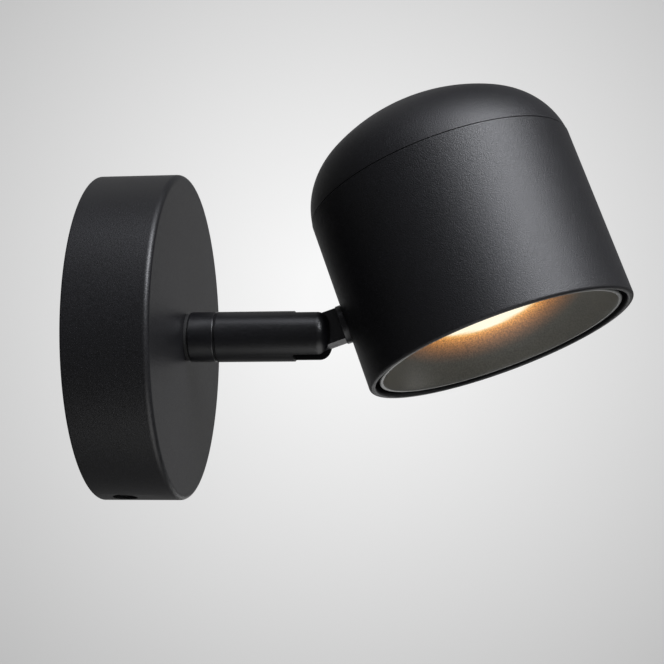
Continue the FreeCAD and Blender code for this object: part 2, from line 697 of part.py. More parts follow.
# ---- Head: shell, cap, heat sink and light, in a frame at the rim's centre with Z up the head axis

screwAngles = (0, 120, 240)


def headShell():
    inRound = rimRound * 0.8
    blank = turned("shellBlank", [
        (headInside + inRound, 0), (headRadius - rimRound, 0, -rimRound), (headRadius, rimRound),
        (headRadius, seamPlace), (headInside, seamPlace), (headInside, ledgePlace),
        (ledgeInside, ledgePlace), (ledgeInside, ledgePlace - ledgeThick),
        (headInside, ledgePlace - ledgeThick - ledgeWide), (headInside, inRound, -inRound)], "Z")
    inner = rod("shellLugLimit", headInside + headWall / 2, 0, seamPlace, "Z")
    lugs = []
    holes = [rod("shellStudHole", studRadius + fixFit, -headRadius - headWall, ledgeWide - headInside, "X",
                 (0, rimBelow))]
    for degrees in screwAngles:
        spot = around(capScrewPlace, degrees)
        lugs.append(rod("shellLug", lugRadius, ledgePlace - lugTall, ledgePlace, "Z", spot))
        holes.append(rod("shellLugHole", capScrewRadius + fixFit * 2, ledgePlace - lugTall, ledgePlace,
                         "Z", spot))
    trimmed = doc.addObject("Part::Common", "shellLugs")
    trimmed.Base = joined("shellLugBlanks", *lugs)
    trimmed.Tool = inner
    piece("head_shell", cutAway("shell", joined("shellSolid", blank, trimmed), *holes), headFrame)


def domeOutline(cornerR, crownR, start):
    # Outer corner arc and crown arc from radius-height start to the axis, tangent to each other.
    across = headRadius - cornerRadius
    rise = root((crownRadius - cornerRadius) * (crownRadius - cornerRadius) - across * across)
    crownCentre = headStraight - rise
    between = crownRadius - cornerRadius
    return [(start[0], start[1], cornerR),
            (across * crownR / between, crownCentre + rise * crownR / between, crownR),
            (0, crownCentre + crownR)]


def headCap():
    across = headRadius - cornerRadius
    skirt = seamPlace + seamGap
    startRadius = across + root(cornerRadius * cornerRadius
                                - (skirt - headStraight) * (skirt - headStraight))
    spigot = headInside - fixFit * 2
    spigotIn = spigot - spigotWall
    innerCorner = cornerRadius - headWall
    innerCrown = crownRadius - headWall
    innerStart = headStraight + root(innerCorner * innerCorner
                                     - (spigotIn - across) * (spigotIn - across))
    outside = domeOutline(cornerRadius, crownRadius, (startRadius, skirt))
    inside = domeOutline(innerCorner, innerCrown, (spigotIn, innerStart))
    back = [(inside[2][0], inside[2][1], innerCrown), (inside[1][0], inside[1][1], innerCorner),
            (inside[0][0], inside[0][1])]
    outline = [(spigotIn, sinkTop), (spigot, sinkTop), (spigot, skirt)]
    outline += [(x, y, -radius) for x, y, radius in outside[:2]] + [outside[2]] + back
    blank = turned("capBlank", outline, "Z")
    bosses = []
    holes = []
    for degrees in screwAngles:
        spot = around(capScrewPlace, degrees)
        bosses.append(rod("capBoss", lugRadius * 0.85, sinkTop, sinkTop + bossTall, "Z", spot))
        holes.append(rod("capBossHole", capScrewRadius + fixFit, sinkTop,
                         ledgePlace - lugTall + capScrewLong + fixFit, "Z", spot))
    piece("head_cap", cutAway("cap", joined("capSolid", blank, *bosses), *holes), headFrame)
    screws = []
    seat = ledgePlace - lugTall
    for degrees in screwAngles:
        screws.append(screw("capScrew", capScrewHead, capScrewRadius, seat + capScrewLong, seat,
                            seat - capScrewHead * 0.75, "Z", around(capScrewPlace, degrees)))
    piece("cap_screws", grouped("capScrews", *screws), headFrame)


def heatSink():
    disc = headInside - sinkGap
    body = turned("sinkBody", [
        (0, pedestalPlace), (ledRadius, pedestalPlace), (ledRadius, ledgePlace), (disc, ledgePlace),
        (disc, sinkTop), (hubRadius, sinkTop), (hubRadius, sinkTop + finTall), (0, sinkTop + finTall)],
        "Z")
    half = finThick / 2
    finIn = hubRadius * 0.8
    sketch = outlined(body, [(finIn, -half), (finOut, -half), (finOut, half), (finIn, half)], "XY_Plane",
                      sinkTop)
    fin = body.newObject("PartDesign::Pad", "sinkFin")
    fin.Profile = sketch
    bind(fin, Length=finTall)
    pattern = body.newObject("PartDesign::PolarPattern", "sinkFins")
    pattern.Originals = [fin]
    pattern.Axis = (sketch, ["N_Axis"])
    pattern.Angle = 360
    pattern.Occurrences = 15
    body.Tip = pattern
    holes = [rod("sinkWireHole", wireBore, ledgePlace, sinkTop, "Z", around(ledRadius + wireBore * 2, 180))]
    for degrees in screwAngles:
        holes.append(rod("sinkCapHole", capScrewRadius + fixFit * 2, ledgePlace, sinkTop, "Z",
                         around(capScrewPlace, degrees)))
    for side in (-1, 1):
        holes.append(rod("sinkHolderHole", holderScrewRadius + fixFit, pedestalPlace,
                         pedestalPlace + holderThick * 2, "Z", (0, holderScrewPlace * side)))
    piece("heat_sink", cutAway("sink", body, *holes), headFrame)


def lightModule():
    def drilled(name, item, low, high):
        holes = [rod(name + "Hole", holderScrewRadius + fixFit, low, high, "Z",
                     (0, holderScrewPlace * side)) for side in (-1, 1)]
        return cutAway(name, item, *holes)

    pad = rod("padDisc", ledRadius, boardPlace, pedestalPlace, "Z")
    piece("thermal_pad", drilled("pad", pad, boardPlace, pedestalPlace), headFrame)
    board = rod("ledDisc", ledRadius, ledPlace, boardPlace, "Z")
    piece("led_board", drilled("ledBoard", board, ledPlace, boardPlace), headFrame)
    piece("led_chip", rod("chip", chipRadius, ledPlace - chipThick, ledPlace, "Z"), headFrame)
    inner = chipRadius + headWall / 2
    bossEnd = holderPlace - collarTall
    holder = turned("holderBlank", [
        (inner, bossEnd), (collarRadius, bossEnd), (collarRadius, holderPlace), (ledRadius, holderPlace),
        (ledRadius, ledPlace), (inner, ledPlace)], "Z")
    piece("led_holder", drilled("holder", holder, holderPlace, ledPlace), headFrame)
    screws = []
    for side in (-1, 1):
        screws.append(screw("holderScrew", holderScrewHead, holderScrewRadius,
                            pedestalPlace + holderThick * 1.6, holderPlace,
                            holderPlace - holderScrewHead * 0.7, "Z", (0, holderScrewPlace * side)))
    piece("holder_screws", grouped("holderScrews", *screws), headFrame)
    piece("diffuser", rod("diffuserDisc", collarRadius - fixFit * 2, diffuserPlace, holderPlace - collarTall,
                          "Z"), headFrame)


def reflector():
    collarIn = collarRadius + fixFit * 2
    collarOut = collarIn + reflectorWall
    bowl = turned("reflectorBowl", [
        (throatRadius, throatPlace, bowlCurve), (mouthRadius - reflectorWall, mouthInset),
        (mouthRadius, mouthInset, -(bowlCurve + reflectorWall)),
        (collarOut, throatPlace + reflectorWall * 0.66), (collarOut, holderPlace),
        (collarIn, holderPlace), (collarIn, diffuserPlace), (throatRadius, diffuserPlace)], "Z")
    piece("reflector", bowl, headFrame)


canopyCover()
mountingPlate()
lockScrews()
grommet()
earthScrew()
terminals()
driver()
armCollar()
swivelBarrel()
swivelSpindle()
tiltScrew()
knuckle()
headShell()
headCap()
heatSink()
lightModule()
reflector()

doc.recompute()

faults = []
for item in doc.Objects:
    if "Invalid" in item.State or "Error" in item.State:
        faults.append(f"{item.Name}: {item.State}")
for item in pieces:
    if item.Shape.isNull() or not item.Shape.isValid() or not item.Shape.Solids:
        faults.append(f"{item.Label}: shape is null, empty or not valid")
if faults:
    raise RuntimeError("\n".join(faults))

os.makedirs("parts", exist_ok=True)
for item in pieces:
    item.Shape.exportStep(os.path.join("parts", item.Label + ".step"))
    print(f"{item.Label}: {len(item.Shape.Solids)} solids, {item.Shape.Volume:.1f} mm3")
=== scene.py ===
import json
import math

import bmesh
import bpy
from mathutils import Matrix, Vector


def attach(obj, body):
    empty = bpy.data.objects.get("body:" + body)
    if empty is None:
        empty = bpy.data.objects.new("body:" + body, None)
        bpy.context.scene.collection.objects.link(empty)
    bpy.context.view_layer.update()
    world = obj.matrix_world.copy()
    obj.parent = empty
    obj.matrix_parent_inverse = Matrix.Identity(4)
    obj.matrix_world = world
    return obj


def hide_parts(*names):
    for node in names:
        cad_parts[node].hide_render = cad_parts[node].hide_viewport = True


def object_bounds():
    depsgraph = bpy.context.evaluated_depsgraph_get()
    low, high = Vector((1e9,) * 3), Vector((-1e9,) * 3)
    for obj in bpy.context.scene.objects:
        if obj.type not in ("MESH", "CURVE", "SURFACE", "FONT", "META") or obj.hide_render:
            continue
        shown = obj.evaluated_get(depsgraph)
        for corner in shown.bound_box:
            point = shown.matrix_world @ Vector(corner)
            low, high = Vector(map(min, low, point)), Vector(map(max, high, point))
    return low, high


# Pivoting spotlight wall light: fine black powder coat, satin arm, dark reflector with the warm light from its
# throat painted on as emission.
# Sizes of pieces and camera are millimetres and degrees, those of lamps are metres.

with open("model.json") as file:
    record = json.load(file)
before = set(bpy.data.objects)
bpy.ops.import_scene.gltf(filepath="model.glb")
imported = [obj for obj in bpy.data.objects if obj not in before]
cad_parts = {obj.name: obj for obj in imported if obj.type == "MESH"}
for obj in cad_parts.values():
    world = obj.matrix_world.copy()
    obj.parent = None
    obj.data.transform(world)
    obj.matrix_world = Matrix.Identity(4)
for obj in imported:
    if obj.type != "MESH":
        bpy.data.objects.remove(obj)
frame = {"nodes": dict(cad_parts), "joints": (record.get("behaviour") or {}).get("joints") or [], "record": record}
cadLow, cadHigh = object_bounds()
nodes = frame["nodes"]
joints = {joint["name"]: joint for joint in frame["joints"]}
print("frame loaded:", len(nodes), "nodes")


def mm(value):
    return value / 1000.0


def rgb(code):
    # sRGB hex to linear, with alpha.
    parts = [int(code[place:place + 2], 16) / 255 for place in (1, 3, 5)]
    return tuple(p / 12.92 if p <= 0.04045 else ((p + 0.055) / 1.055) ** 2.4 for p in parts) + (1.0,)


def addNode(tree, kind, inputs=None, **settings):
    node = tree.nodes.new(kind)
    for name, value in settings.items():
        setattr(node, name, value)
    for key, value in (inputs or {}).items():
        if isinstance(value, bpy.types.NodeSocket):
            tree.links.new(value, node.inputs[key])
        else:
            node.inputs[key].default_value = value
    return node


# ---- where the arm and the head stand at rest

rest = {"headTilt": 19.7, "headAway": 53.0, "rimBelow": 22.8, "lockTurn": -16}

pivotPoint = Vector(joints["head_tilt"]["pos_m"])
tiltAxis = Vector(joints["head_tilt"]["axis"])
armRoll = math.atan2(-tiltAxis.z, -tiltAxis.y)

wallFrame = Matrix.Rotation(math.radians(90), 4, "Y")  # a turned piece's own Z goes along the arm
crossFrame = Matrix.Rotation(math.radians(-90), 4, "X")  # its own Z goes along Y, a bar's XZ lies in XY
lockFrame = Matrix.Rotation(math.radians(rest["lockTurn"]), 4, "X")  # the locking screws' line
armFrame = Matrix.Rotation(armRoll, 4, "X")
pivotFrame = (armFrame @ Matrix.Translation((pivotPoint.x, 0, 0))
              @ Matrix.Rotation(math.radians(-rest["headTilt"]), 4, "Y"))
headFrame = pivotFrame @ Matrix.Translation((mm(rest["headAway"]), 0, -mm(rest["rimBelow"])))


# ---- outlines: lists of (radius, along) in millimetres

def arcOf(centre, radius, start, end, count):
    # Points of an arc, angles in degrees from the radius direction towards along.
    angles = [math.radians(start + (end - start) * step / count) for step in range(count + 1)]
    return [(centre[0] + radius * math.cos(a), centre[1] + radius * math.sin(a)) for a in angles]


def rounded(corners, steps=5):
    # A corner may be (x, y, fillet); the fillet is drawn as a short arc.
    points = []
    for index, corner in enumerate(corners):
        here = Vector(corner[:2])
        if len(corner) == 2:
            points.append(tuple(here))
            continue
        before = (Vector(corners[index - 1][:2]) - here).normalized()
        after = (Vector(corners[(index + 1) % len(corners)][:2]) - here).normalized()
        half = before.angle(after) / 2
        fillet = corner[2]
        centre = here + (before + after).normalized() * fillet / math.sin(half)
        reach = fillet / math.tan(half)
        first = here + before * reach - centre
        last = here + after * reach - centre
        sweep = first.angle_signed(last)
        for step in range(steps + 1):
            turn = -sweep * step / steps
            x = first.x * math.cos(turn) - first.y * math.sin(turn)
            y = first.x * math.sin(turn) + first.y * math.cos(turn)
            points.append((centre.x + x, centre.y + y))
    return points


# ---- Geometry Nodes: a profile turned about Z, and pieces set on points

def turningTree():
    tree = bpy.data.node_groups.new("turnedProfile", "GeometryNodeTree")
    for name, kind in (("Profile", "NodeSocketGeometry"), ("Segments", "NodeSocketInt"),
                       ("Finish", "NodeSocketMaterial")):
        tree.interface.new_socket(name, in_out="INPUT", socket_type=kind)
    tree.interface.new_socket("Turned", in_out="OUTPUT", socket_type="NodeSocketGeometry")
    given = addNode(tree, "NodeGroupInput")
    profile, segments = given.outputs["Profile"], given.outputs["Segments"]
    rows = addNode(tree, "GeometryNodeAttributeDomainSize", {"Geometry": profile}).outputs["Point Count"]
    columns = addNode(tree, "ShaderNodeMath", {0: segments, 1: 1.0}, operation="ADD").outputs[0]
    grid = addNode(tree, "GeometryNodeMeshGrid", {"Vertices X": columns, "Vertices Y": rows})
    index = addNode(tree, "GeometryNodeInputIndex").outputs[0]
    row = addNode(tree, "ShaderNodeMath", {0: index, 1: rows}, operation="MODULO").outputs[0]
    share = addNode(tree, "ShaderNodeMath", {0: index, 1: rows}, operation="DIVIDE").outputs[0]
    column = addNode(tree, "ShaderNodeMath", {0: share}, operation="FLOOR").outputs[0]
    part = addNode(tree, "ShaderNodeMath", {0: column, 1: segments}, operation="DIVIDE").outputs[0]
    turn = addNode(tree, "ShaderNodeMath", {0: part, 1: math.tau}, operation="MULTIPLY").outputs[0]
    place = addNode(tree, "GeometryNodeInputPosition").outputs[0]
    sample = addNode(tree, "GeometryNodeSampleIndex", {"Geometry": profile, "Index": row},
                     data_type="FLOAT_VECTOR")
    tree.links.new(place, sample.inputs["Value"])
    point = addNode(tree, "ShaderNodeSeparateXYZ", {0: sample.outputs["Value"]})
    cosine = addNode(tree, "ShaderNodeMath", {0: turn}, operation="COSINE").outputs[0]
    sine = addNode(tree, "ShaderNodeMath", {0: turn}, operation="SINE").outputs[0]
    x = addNode(tree, "ShaderNodeMath", {0: point.outputs["X"], 1: cosine}, operation="MULTIPLY")
    y = addNode(tree, "ShaderNodeMath", {0: point.outputs["X"], 1: sine}, operation="MULTIPLY")
    spot = addNode(tree, "ShaderNodeCombineXYZ", {"X": x.outputs[0], "Y": y.outputs[0],
                                                  "Z": point.outputs["Z"]})
    moved = addNode(tree, "GeometryNodeSetPosition", {"Geometry": grid.outputs["Mesh"],
                                                      "Position": spot.outputs[0]})
    closed = addNode(tree, "GeometryNodeMergeByDistance", {"Geometry": moved.outputs[0], "Distance": 1e-7})
    real = addNode(tree, "GeometryNodeRealizeInstances", {"Geometry": closed.outputs[0]})
    shown = addNode(tree, "GeometryNodeSetMaterial", {"Geometry": real.outputs[0],
                                                      "Material": given.outputs["Finish"]})
    addNode(tree, "NodeGroupOutput", {"Turned": shown.outputs[0]})
    return tree


def repeatTree():
    # The input mesh stands on each point, turned to the point's own angle about Z.
    tree = bpy.data.node_groups.new("piecesOnPoints", "GeometryNodeTree")
    for name, kind in (("Points", "NodeSocketGeometry"), ("Piece", "NodeSocketObject"),
                       ("Finish", "NodeSocketMaterial")):
        tree.interface.new_socket(name, in_out="INPUT", socket_type=kind)
    tree.interface.new_socket("Repeated", in_out="OUTPUT", socket_type="NodeSocketGeometry")
    given = addNode(tree, "NodeGroupInput")
    piece = addNode(tree, "GeometryNodeObjectInfo", {"Object": given.outputs["Piece"]})
    turn = addNode(tree, "GeometryNodeInputNamedAttribute", {"Name": "turn"}, data_type="FLOAT_VECTOR")
    toTurn = addNode(tree, "FunctionNodeEulerToRotation", {0: turn.outputs["Attribute"]})
    copies = addNode(tree, "GeometryNodeInstanceOnPoints", {
        "Points": given.outputs["Points"], "Instance": piece.outputs["Geometry"],
        "Rotation": toTurn.outputs[0]})
    real = addNode(tree, "GeometryNodeRealizeInstances", {"Geometry": copies.outputs[0]})
    shown = addNode(tree, "GeometryNodeSetMaterial", {"Geometry": real.outputs[0],
                                                      "Material": given.outputs["Finish"]})
    addNode(tree, "NodeGroupOutput", {"Repeated": shown.outputs[0]})
    return tree


turning = turningTree()
repeating = repeatTree()


def setInput(modifier, name, value):
    items = modifier.node_group.interface.items_tree
    socket = [item for item in items if item.name == name and item.in_out == "INPUT"][0]
    modifier[socket.identifier] = value


def newObject(name, mesh):
    obj = bpy.data.objects.new(name, mesh)
    bpy.context.scene.collection.objects.link(obj)
    return obj


def baked(obj):
    # The modifiers' result as a plain mesh.
    graph = bpy.context.evaluated_depsgraph_get()
    mesh = bpy.data.meshes.new_from_object(obj.evaluated_get(graph))
    obj.modifiers.clear()
    obj.data = mesh
    mesh.name = obj.name
    return obj


finishing = {"weld": 0.0005, "sharp": 32, "bevelFrom": 40, "bevelSharp": 45, "flatWithin": 1,
             "softFrom": 50, "softSharp": 21}


def cleaned(obj, sharpAngle=finishing["sharp"]):
    # Doubles merged, loose edges out, normals out and corners past the angle kept sharp.
    work = bmesh.new()
    work.from_mesh(obj.data)
    bmesh.ops.remove_doubles(work, verts=work.verts, dist=mm(finishing["weld"]))
    bmesh.ops.dissolve_degenerate(work, edges=work.edges, dist=mm(finishing["weld"]))
    bmesh.ops.delete(work, geom=[edge for edge in work.edges if not edge.link_faces], context="EDGES")
    bmesh.ops.delete(work, geom=[vert for vert in work.verts if not vert.link_edges], context="VERTS")
    bmesh.ops.recalc_face_normals(work, faces=work.faces)
    work.to_mesh(obj.data)
    work.free()
    obj.data.shade_smooth()
    obj.data.set_sharp_from_angle(angle=math.radians(sharpAngle))
    return obj


def braced(outline, inset=0.2, shortest=1.5):
    # A point close to each end of every long run keeps the flat faces flat in the shading.
    points = []
    for here, following in zip(outline, outline[1:] + outline[:1]):
        start, run = Vector(here), Vector(following) - Vector(here)
        points.append(here)
        if run.length > shortest:
            step = run.normalized() * inset
            points += [tuple(start + step), tuple(start + run - step)]
    return points


def turned(name, outline, finish, place, segments=192):
    # A closed outline turned about its own Z and set in place.
    outline = braced(outline)
    points = [(mm(x), 0, mm(z)) for x, z in outline + outline[:1]]
    mesh = bpy.data.meshes.new(name)
    mesh.from_pydata(points, [(i, i + 1) for i in range(len(points) - 1)], [])
    obj = newObject(name, mesh)
    modifier = obj.modifiers.new("turning", "NODES")
    modifier.node_group = turning
    setInput(modifier, "Segments", segments)
    setInput(modifier, "Finish", finish)
    baked(obj)
    obj.data.transform(place)
    return cleaned(obj)


def solidBar(name, corners, low, high, place, finish):
    # A closed outline in the piece's XZ plane, drawn out along Y from low to high.
    work = bmesh.new()
    near = [work.verts.new((mm(x), mm(low), mm(z))) for x, z in corners]
    far = [work.verts.new((mm(x), mm(high), mm(z))) for x, z in corners]
    work.faces.new(near)
    work.faces.new(far)
    for index in range(len(near)):
        following = (index + 1) % len(near)
        work.faces.new((near[index], near[following], far[following], far[index]))
    bmesh.ops.recalc_face_normals(work, faces=work.faces)
    mesh = bpy.data.meshes.new(name)
    work.to_mesh(mesh)
    work.free()
    mesh.transform(place)
    mesh.materials.append(finish)
    return newObject(name, mesh)


def combined(obj, tools, operation="DIFFERENCE", edge=0.0):
    # Boolean with each tool, then a fine rounding on the sharp edges.
    for tool in tools:
        cut = obj.modifiers.new("shape", "BOOLEAN")
        cut.operation = operation
        cut.solver = "EXACT"
        cut.object = tool
    baked(obj)
    for tool in tools:
        bpy.data.objects.remove(tool)
    cleaned(obj)
    if edge:
        soft = obj.modifiers.new("edge", "BEVEL")
        soft.width = mm(edge)
        soft.segments = 3
        soft.limit_method = "ANGLE"
        soft.angle_limit = math.radians(finishing["bevelFrom"])
        soft.miter_outer = "MITER_ARC"
        baked(obj)
        cleaned(obj, finishing["bevelSharp"])
    return obj


def softened(node, edge, finish):
    # A CAD node's own shape with its edges broken, for small cast and pressed pieces.
    obj = newObject(node + "_fine", nodes[node].data.copy())
    obj.data.materials.clear()
    obj.data.materials.append(finish)
    cleaned(obj)
    flat = obj.modifiers.new("flat", "DECIMATE")
    flat.decimate_type = "DISSOLVE"
    flat.angle_limit = math.radians(finishing["flatWithin"])
    soft = obj.modifiers.new("edge", "BEVEL")
    soft.width = mm(edge)
    soft.segments = 2
    soft.limit_method = "ANGLE"
    soft.angle_limit = math.radians(finishing["softFrom"])
    soft.use_clamp_overlap = True
    baked(obj)
    return cleaned(obj, finishing["softSharp"])


def finished(obj, body, slot, *replaced):
    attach(obj, body)
    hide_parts(*replaced)
    return obj


# ---- materials, each from what the real one is

def newMaterial(name, colour, roughness, metallic=0.0, ior=1.5):
    material = bpy.data.materials.new(name)
    material.use_nodes = True
    tree = material.node_tree
    shader = tree.nodes["Principled BSDF"]
    shader.inputs["Base Color"].default_value = rgb(colour)
    shader.inputs["Roughness"].default_value = roughness
    shader.inputs["Metallic"].default_value = metallic
    shader.inputs["IOR"].default_value = ior
    return material, tree, shader


grainLook = {"broad": 25, "broadShare": 0.22, "darkAt": 0.36, "lightAt": 0.64, "dullAt": 0.3, "glossAt": 0.7}


def grained(tree, shader, light, dark, grain, depth, roughLow, roughHigh, stretch=(1, 1, 1)):
    # Grain of a real size in millimetres, in the colour, the gloss and the relief.
    where = addNode(tree, "ShaderNodeTexCoord").outputs["Object"]
    spun = addNode(tree, "ShaderNodeMapping", {"Vector": where, "Scale": stretch}).outputs[0]
    fine = addNode(tree, "ShaderNodeTexNoise", {"Vector": spun, "Scale": 1 / mm(grain), "Detail": 3.0,
                                                "Roughness": 0.6})
    broad = addNode(tree, "ShaderNodeTexNoise", {"Vector": where, "Scale": 1 / mm(grainLook["broad"]),
                                                 "Detail": 2.0})
    share = addNode(tree, "ShaderNodeMix", {"Factor": grainLook["broadShare"], 2: fine.outputs["Fac"],
                                            3: broad.outputs["Fac"]}, data_type="FLOAT")
    level = addNode(tree, "ShaderNodeMapRange", {"Value": share.outputs[0],
                                                 "From Min": grainLook["darkAt"],
                                                 "From Max": grainLook["lightAt"]})
    tone = addNode(tree, "ShaderNodeMix", {"Factor": level.outputs[0], 6: rgb(dark), 7: rgb(light)},
                   data_type="RGBA")
    tree.links.new(tone.outputs[2], shader.inputs["Base Color"])
    gloss = addNode(tree, "ShaderNodeMapRange", {"Value": fine.outputs["Fac"],
                                                 "From Min": grainLook["dullAt"],
                                                 "From Max": grainLook["glossAt"],
                                                 "To Min": roughLow, "To Max": roughHigh})
    tree.links.new(gloss.outputs[0], shader.inputs["Roughness"])
    relief = addNode(tree, "ShaderNodeBump", {"Height": fine.outputs["Fac"], "Distance": mm(depth),
                                              "Strength": 1.0})
    tree.links.new(relief.outputs[0], shader.inputs["Normal"])
    return fine


def powderCoat(name, light, dark, roughness, grain=0.5, depth=0.02):
    # Baked powder coat or satin paint: fine orange-peel grain of about the given size.
    material, tree, shader = newMaterial(name, dark, roughness)
    grained(tree, shader, light, dark, grain, depth, roughness - 0.05, roughness + 0.06)
    return material


def plainPlastic(name, light, dark, roughness):
    # Moulded nylon or polycarbonate: faint mould texture and a dull sheen.
    material, tree, shader = newMaterial(name, light, roughness, ior=1.53)
    grained(tree, shader, light, dark, 0.6, 0.006, roughness - 0.06, roughness + 0.06)
    return material


def turnedMetal(name, light, dark, roughness, stretch=(6, 1, 1)):
    # Machined or plated metal: fine tool lines and a soft, broad reflection.
    material, tree, shader = newMaterial(name, light, roughness, metallic=1.0)
    grained(tree, shader, light, dark, 0.5, 0.004, roughness - 0.07, roughness + 0.08, stretch)
    return material


canopyCoat = powderCoat("powder_coat_canopy_black", "#121215", "#09090b", 0.44, 0.45, 0.05)
headCoat = powderCoat("powder_coat_head_black", "#111115", "#08080a", 0.46, 0.34, 0.11)
armCoat = powderCoat("satin_paint_arm_black", "#0d0d10", "#070709", 0.34, 0.7, 0.01)
knuckleCoat = powderCoat("satin_paint_knuckle_black", "#18181b", "#101013", 0.4, 0.7, 0.006)
zincSteel = turnedMetal("zinc_plated_steel", "#b9bab6", "#9d9e9b", 0.32)
blackOxide = turnedMetal("black_oxide_screw_steel", "#2b2b2d", "#1e1e20", 0.38)
brass = turnedMetal("machined_brass", "#c9a45a", "#b08d49", 0.28)
castAluminium = turnedMetal("die_cast_aluminium", "#a9abad", "#919395", 0.42, (1, 1, 1))
maskedBoard = plainPlastic("white_solder_mask_on_aluminium", "#e4e4de", "#d5d5cf", 0.45)
greenBoard = plainPlastic("glass_fibre_board_green", "#1f5a33", "#184a29", 0.4)
blackParts = plainPlastic("moulded_components_black", "#1e1e20", "#151517", 0.5)
whiteNylon = plainPlastic("white_nylon", "#e2e1da", "#d3d2cb", 0.5)
blackNylon = plainPlastic("black_nylon", "#0b0b0c", "#060607", 0.75)
whiteCase = plainPlastic("white_polycarbonate", "#e6e6e2", "#d9d9d5", 0.42)
greyPad = plainPlastic("silicone_pad_grey", "#7d8288", "#6d7277", 0.7)
blackRubber = plainPlastic("moulded_rubber_black", "#161616", "#0e0e0e", 0.72)


def reflectorPaintAndPaintedGlow():
    # Spun aluminium with a dark grey satin paint; the lamp's warm light on its inner half is painted on as
    # emission, stronger deeper in the bowl.
    material, tree, shader = newMaterial("satin_reflector_paint_dark_grey", "#4b4b49", 0.42)
    fine = grained(tree, shader, "#5c5d5a", "#494a48", 0.5, 0.03, 0.3, 0.46)
    # Painted lamp light: the per-vertex level set in makeReflector drives the emission's strength and its colour,
    # from warm orange to cream.
    glow = addNode(tree, "ShaderNodeAttribute", attribute_name="glow")
    calm = addNode(tree, "ShaderNodeMapRange", {"Value": glow.outputs["Fac"], "From Min": 0.5,
                                                "From Max": 1.0, "To Min": 0.45, "To Max": 0.04})
    lowest = addNode(tree, "ShaderNodeMath", {0: 1.0, 1: calm.outputs[0]}, operation="SUBTRACT")
    highest = addNode(tree, "ShaderNodeMath", {0: 1.0, 1: calm.outputs[0]}, operation="ADD")
    speckle = addNode(tree, "ShaderNodeMapRange", {"Value": fine.outputs["Fac"], "From Min": 0.35,
                                                   "From Max": 0.65, "To Min": lowest.outputs[0],
                                                   "To Max": highest.outputs[0]})
    paintedGlowStrength = addNode(tree, "ShaderNodeMath", {0: glow.outputs["Fac"], 1: speckle.outputs[0]},
                     operation="MULTIPLY")
    paintedGlowColour = addNode(tree, "ShaderNodeValToRGB", {"Fac": glow.outputs["Fac"]})
    ramp = paintedGlowColour.color_ramp
    ramp.elements[0].color = rgb("#ff9c38")
    ramp.elements[1].color = rgb("#fff6da")
    for share, colour in ((0.62, "#ffaa42"), (0.82, "#ffc878")):
        ramp.elements.new(share).color = rgb(colour)
    tree.links.new(paintedGlowColour.outputs[0], shader.inputs["Emission Color"])
    tree.links.new(paintedGlowStrength.outputs[0], shader.inputs["Emission Strength"])
    return material


def litDiffuser():
    # Frosted glass over a warm white emitter, bright all over.
    material, tree, shader = newMaterial("frosted_glass_lit_warm", "#fff2dc", 0.5)
    where = addNode(tree, "ShaderNodeTexCoord").outputs["Object"]
    frost = addNode(tree, "ShaderNodeTexNoise", {"Vector": where, "Scale": 1 / mm(0.4)})
    relief = addNode(tree, "ShaderNodeBump", {"Height": frost.outputs["Fac"], "Distance": mm(0.01)})
    tree.links.new(relief.outputs[0], shader.inputs["Normal"])
    shader.inputs["Emission Color"].default_value = rgb("#ffd79a")
    shader.inputs["Emission Strength"].default_value = 1.6
    return material


def litChip():
    # Yellow phosphor layer of the emitter.
    material, tree, shader = newMaterial("phosphor_emitter_yellow", "#f2c84b", 0.6)
    where = addNode(tree, "ShaderNodeTexCoord").outputs["Object"]
    dots = addNode(tree, "ShaderNodeTexVoronoi", {"Vector": where, "Scale": 1 / mm(1.2)})
    tone = addNode(tree, "ShaderNodeMix", {"Factor": dots.outputs["Distance"], 6: rgb("#f2c84b"),
                                           7: rgb("#ffe9a0")}, data_type="RGBA")
    tree.links.new(tone.outputs[2], shader.inputs["Base Color"])
    shader.inputs["Emission Color"].default_value = rgb("#ffd79a")
    shader.inputs["Emission Strength"].default_value = 8.0
    return material


reflectorFinishAndPaintedGlow = reflectorPaintAndPaintedGlow()
diffuserFinish = litDiffuser()
chipFinish = litChip()
print("materials made:", len(bpy.data.materials))


# ---- canopy

lockSeat = {"place": 8.8, "away": 46.7}
canopySizes = {"radius": 49.98, "depth": 25.3, "wall": 1.5, "edge": 1.6, "backEdge": 0.4, "bore": 5.05,
               "boreEdge": 0.1, "innerEdge": 0.6, "lockHole": 3.75, "holeEdge": 0.35, "cutIn": 4, "cutOut": 2}


def makeCanopy(size):
    radius, depth, wall = size["radius"], size["depth"], size["wall"]
    outline = rounded([
        (radius, 0, size["backEdge"]), (radius, depth, size["edge"]),
        (size["bore"], depth, size["boreEdge"]), (size["bore"], depth - wall, size["boreEdge"]),
        (radius - wall, depth - wall, size["innerEdge"]),
        (radius - wall, 0, size["backEdge"])], 8)
    cover = turned("canopy", outline, canopyCoat, wallFrame, 360)
    tools = []
    for side in (-1, 1):
        ends = sorted((side * (radius - size["cutIn"]), side * (radius + size["cutOut"])))
        hole = rounded([(0, ends[0]), (size["lockHole"], ends[0]), (size["lockHole"], ends[1]),
                        (0, ends[1])])
        place = lockFrame @ Matrix.Translation((mm(lockSeat["place"]), 0, 0))
        tools.append(turned("lockHole", hole, canopyCoat, place, 64))
    return combined(cover, tools, edge=size["holeEdge"])


finished(makeCanopy(canopySizes), "wall_base", "powder_coat_canopy", "canopy_cover")

softEdges = {"plate": 0.3, "grommet": 0.4}
finished(softened("mounting_plate", softEdges["plate"], zincSteel), "wall_base", "zinc_steel",
         "mounting_plate")
finished(softened("cable_grommet", softEdges["grommet"], blackRubber), "wall_base", "rubber_black",
         "cable_grommet")
print("canopy made")


# ---- screws, one mesh each, set on points

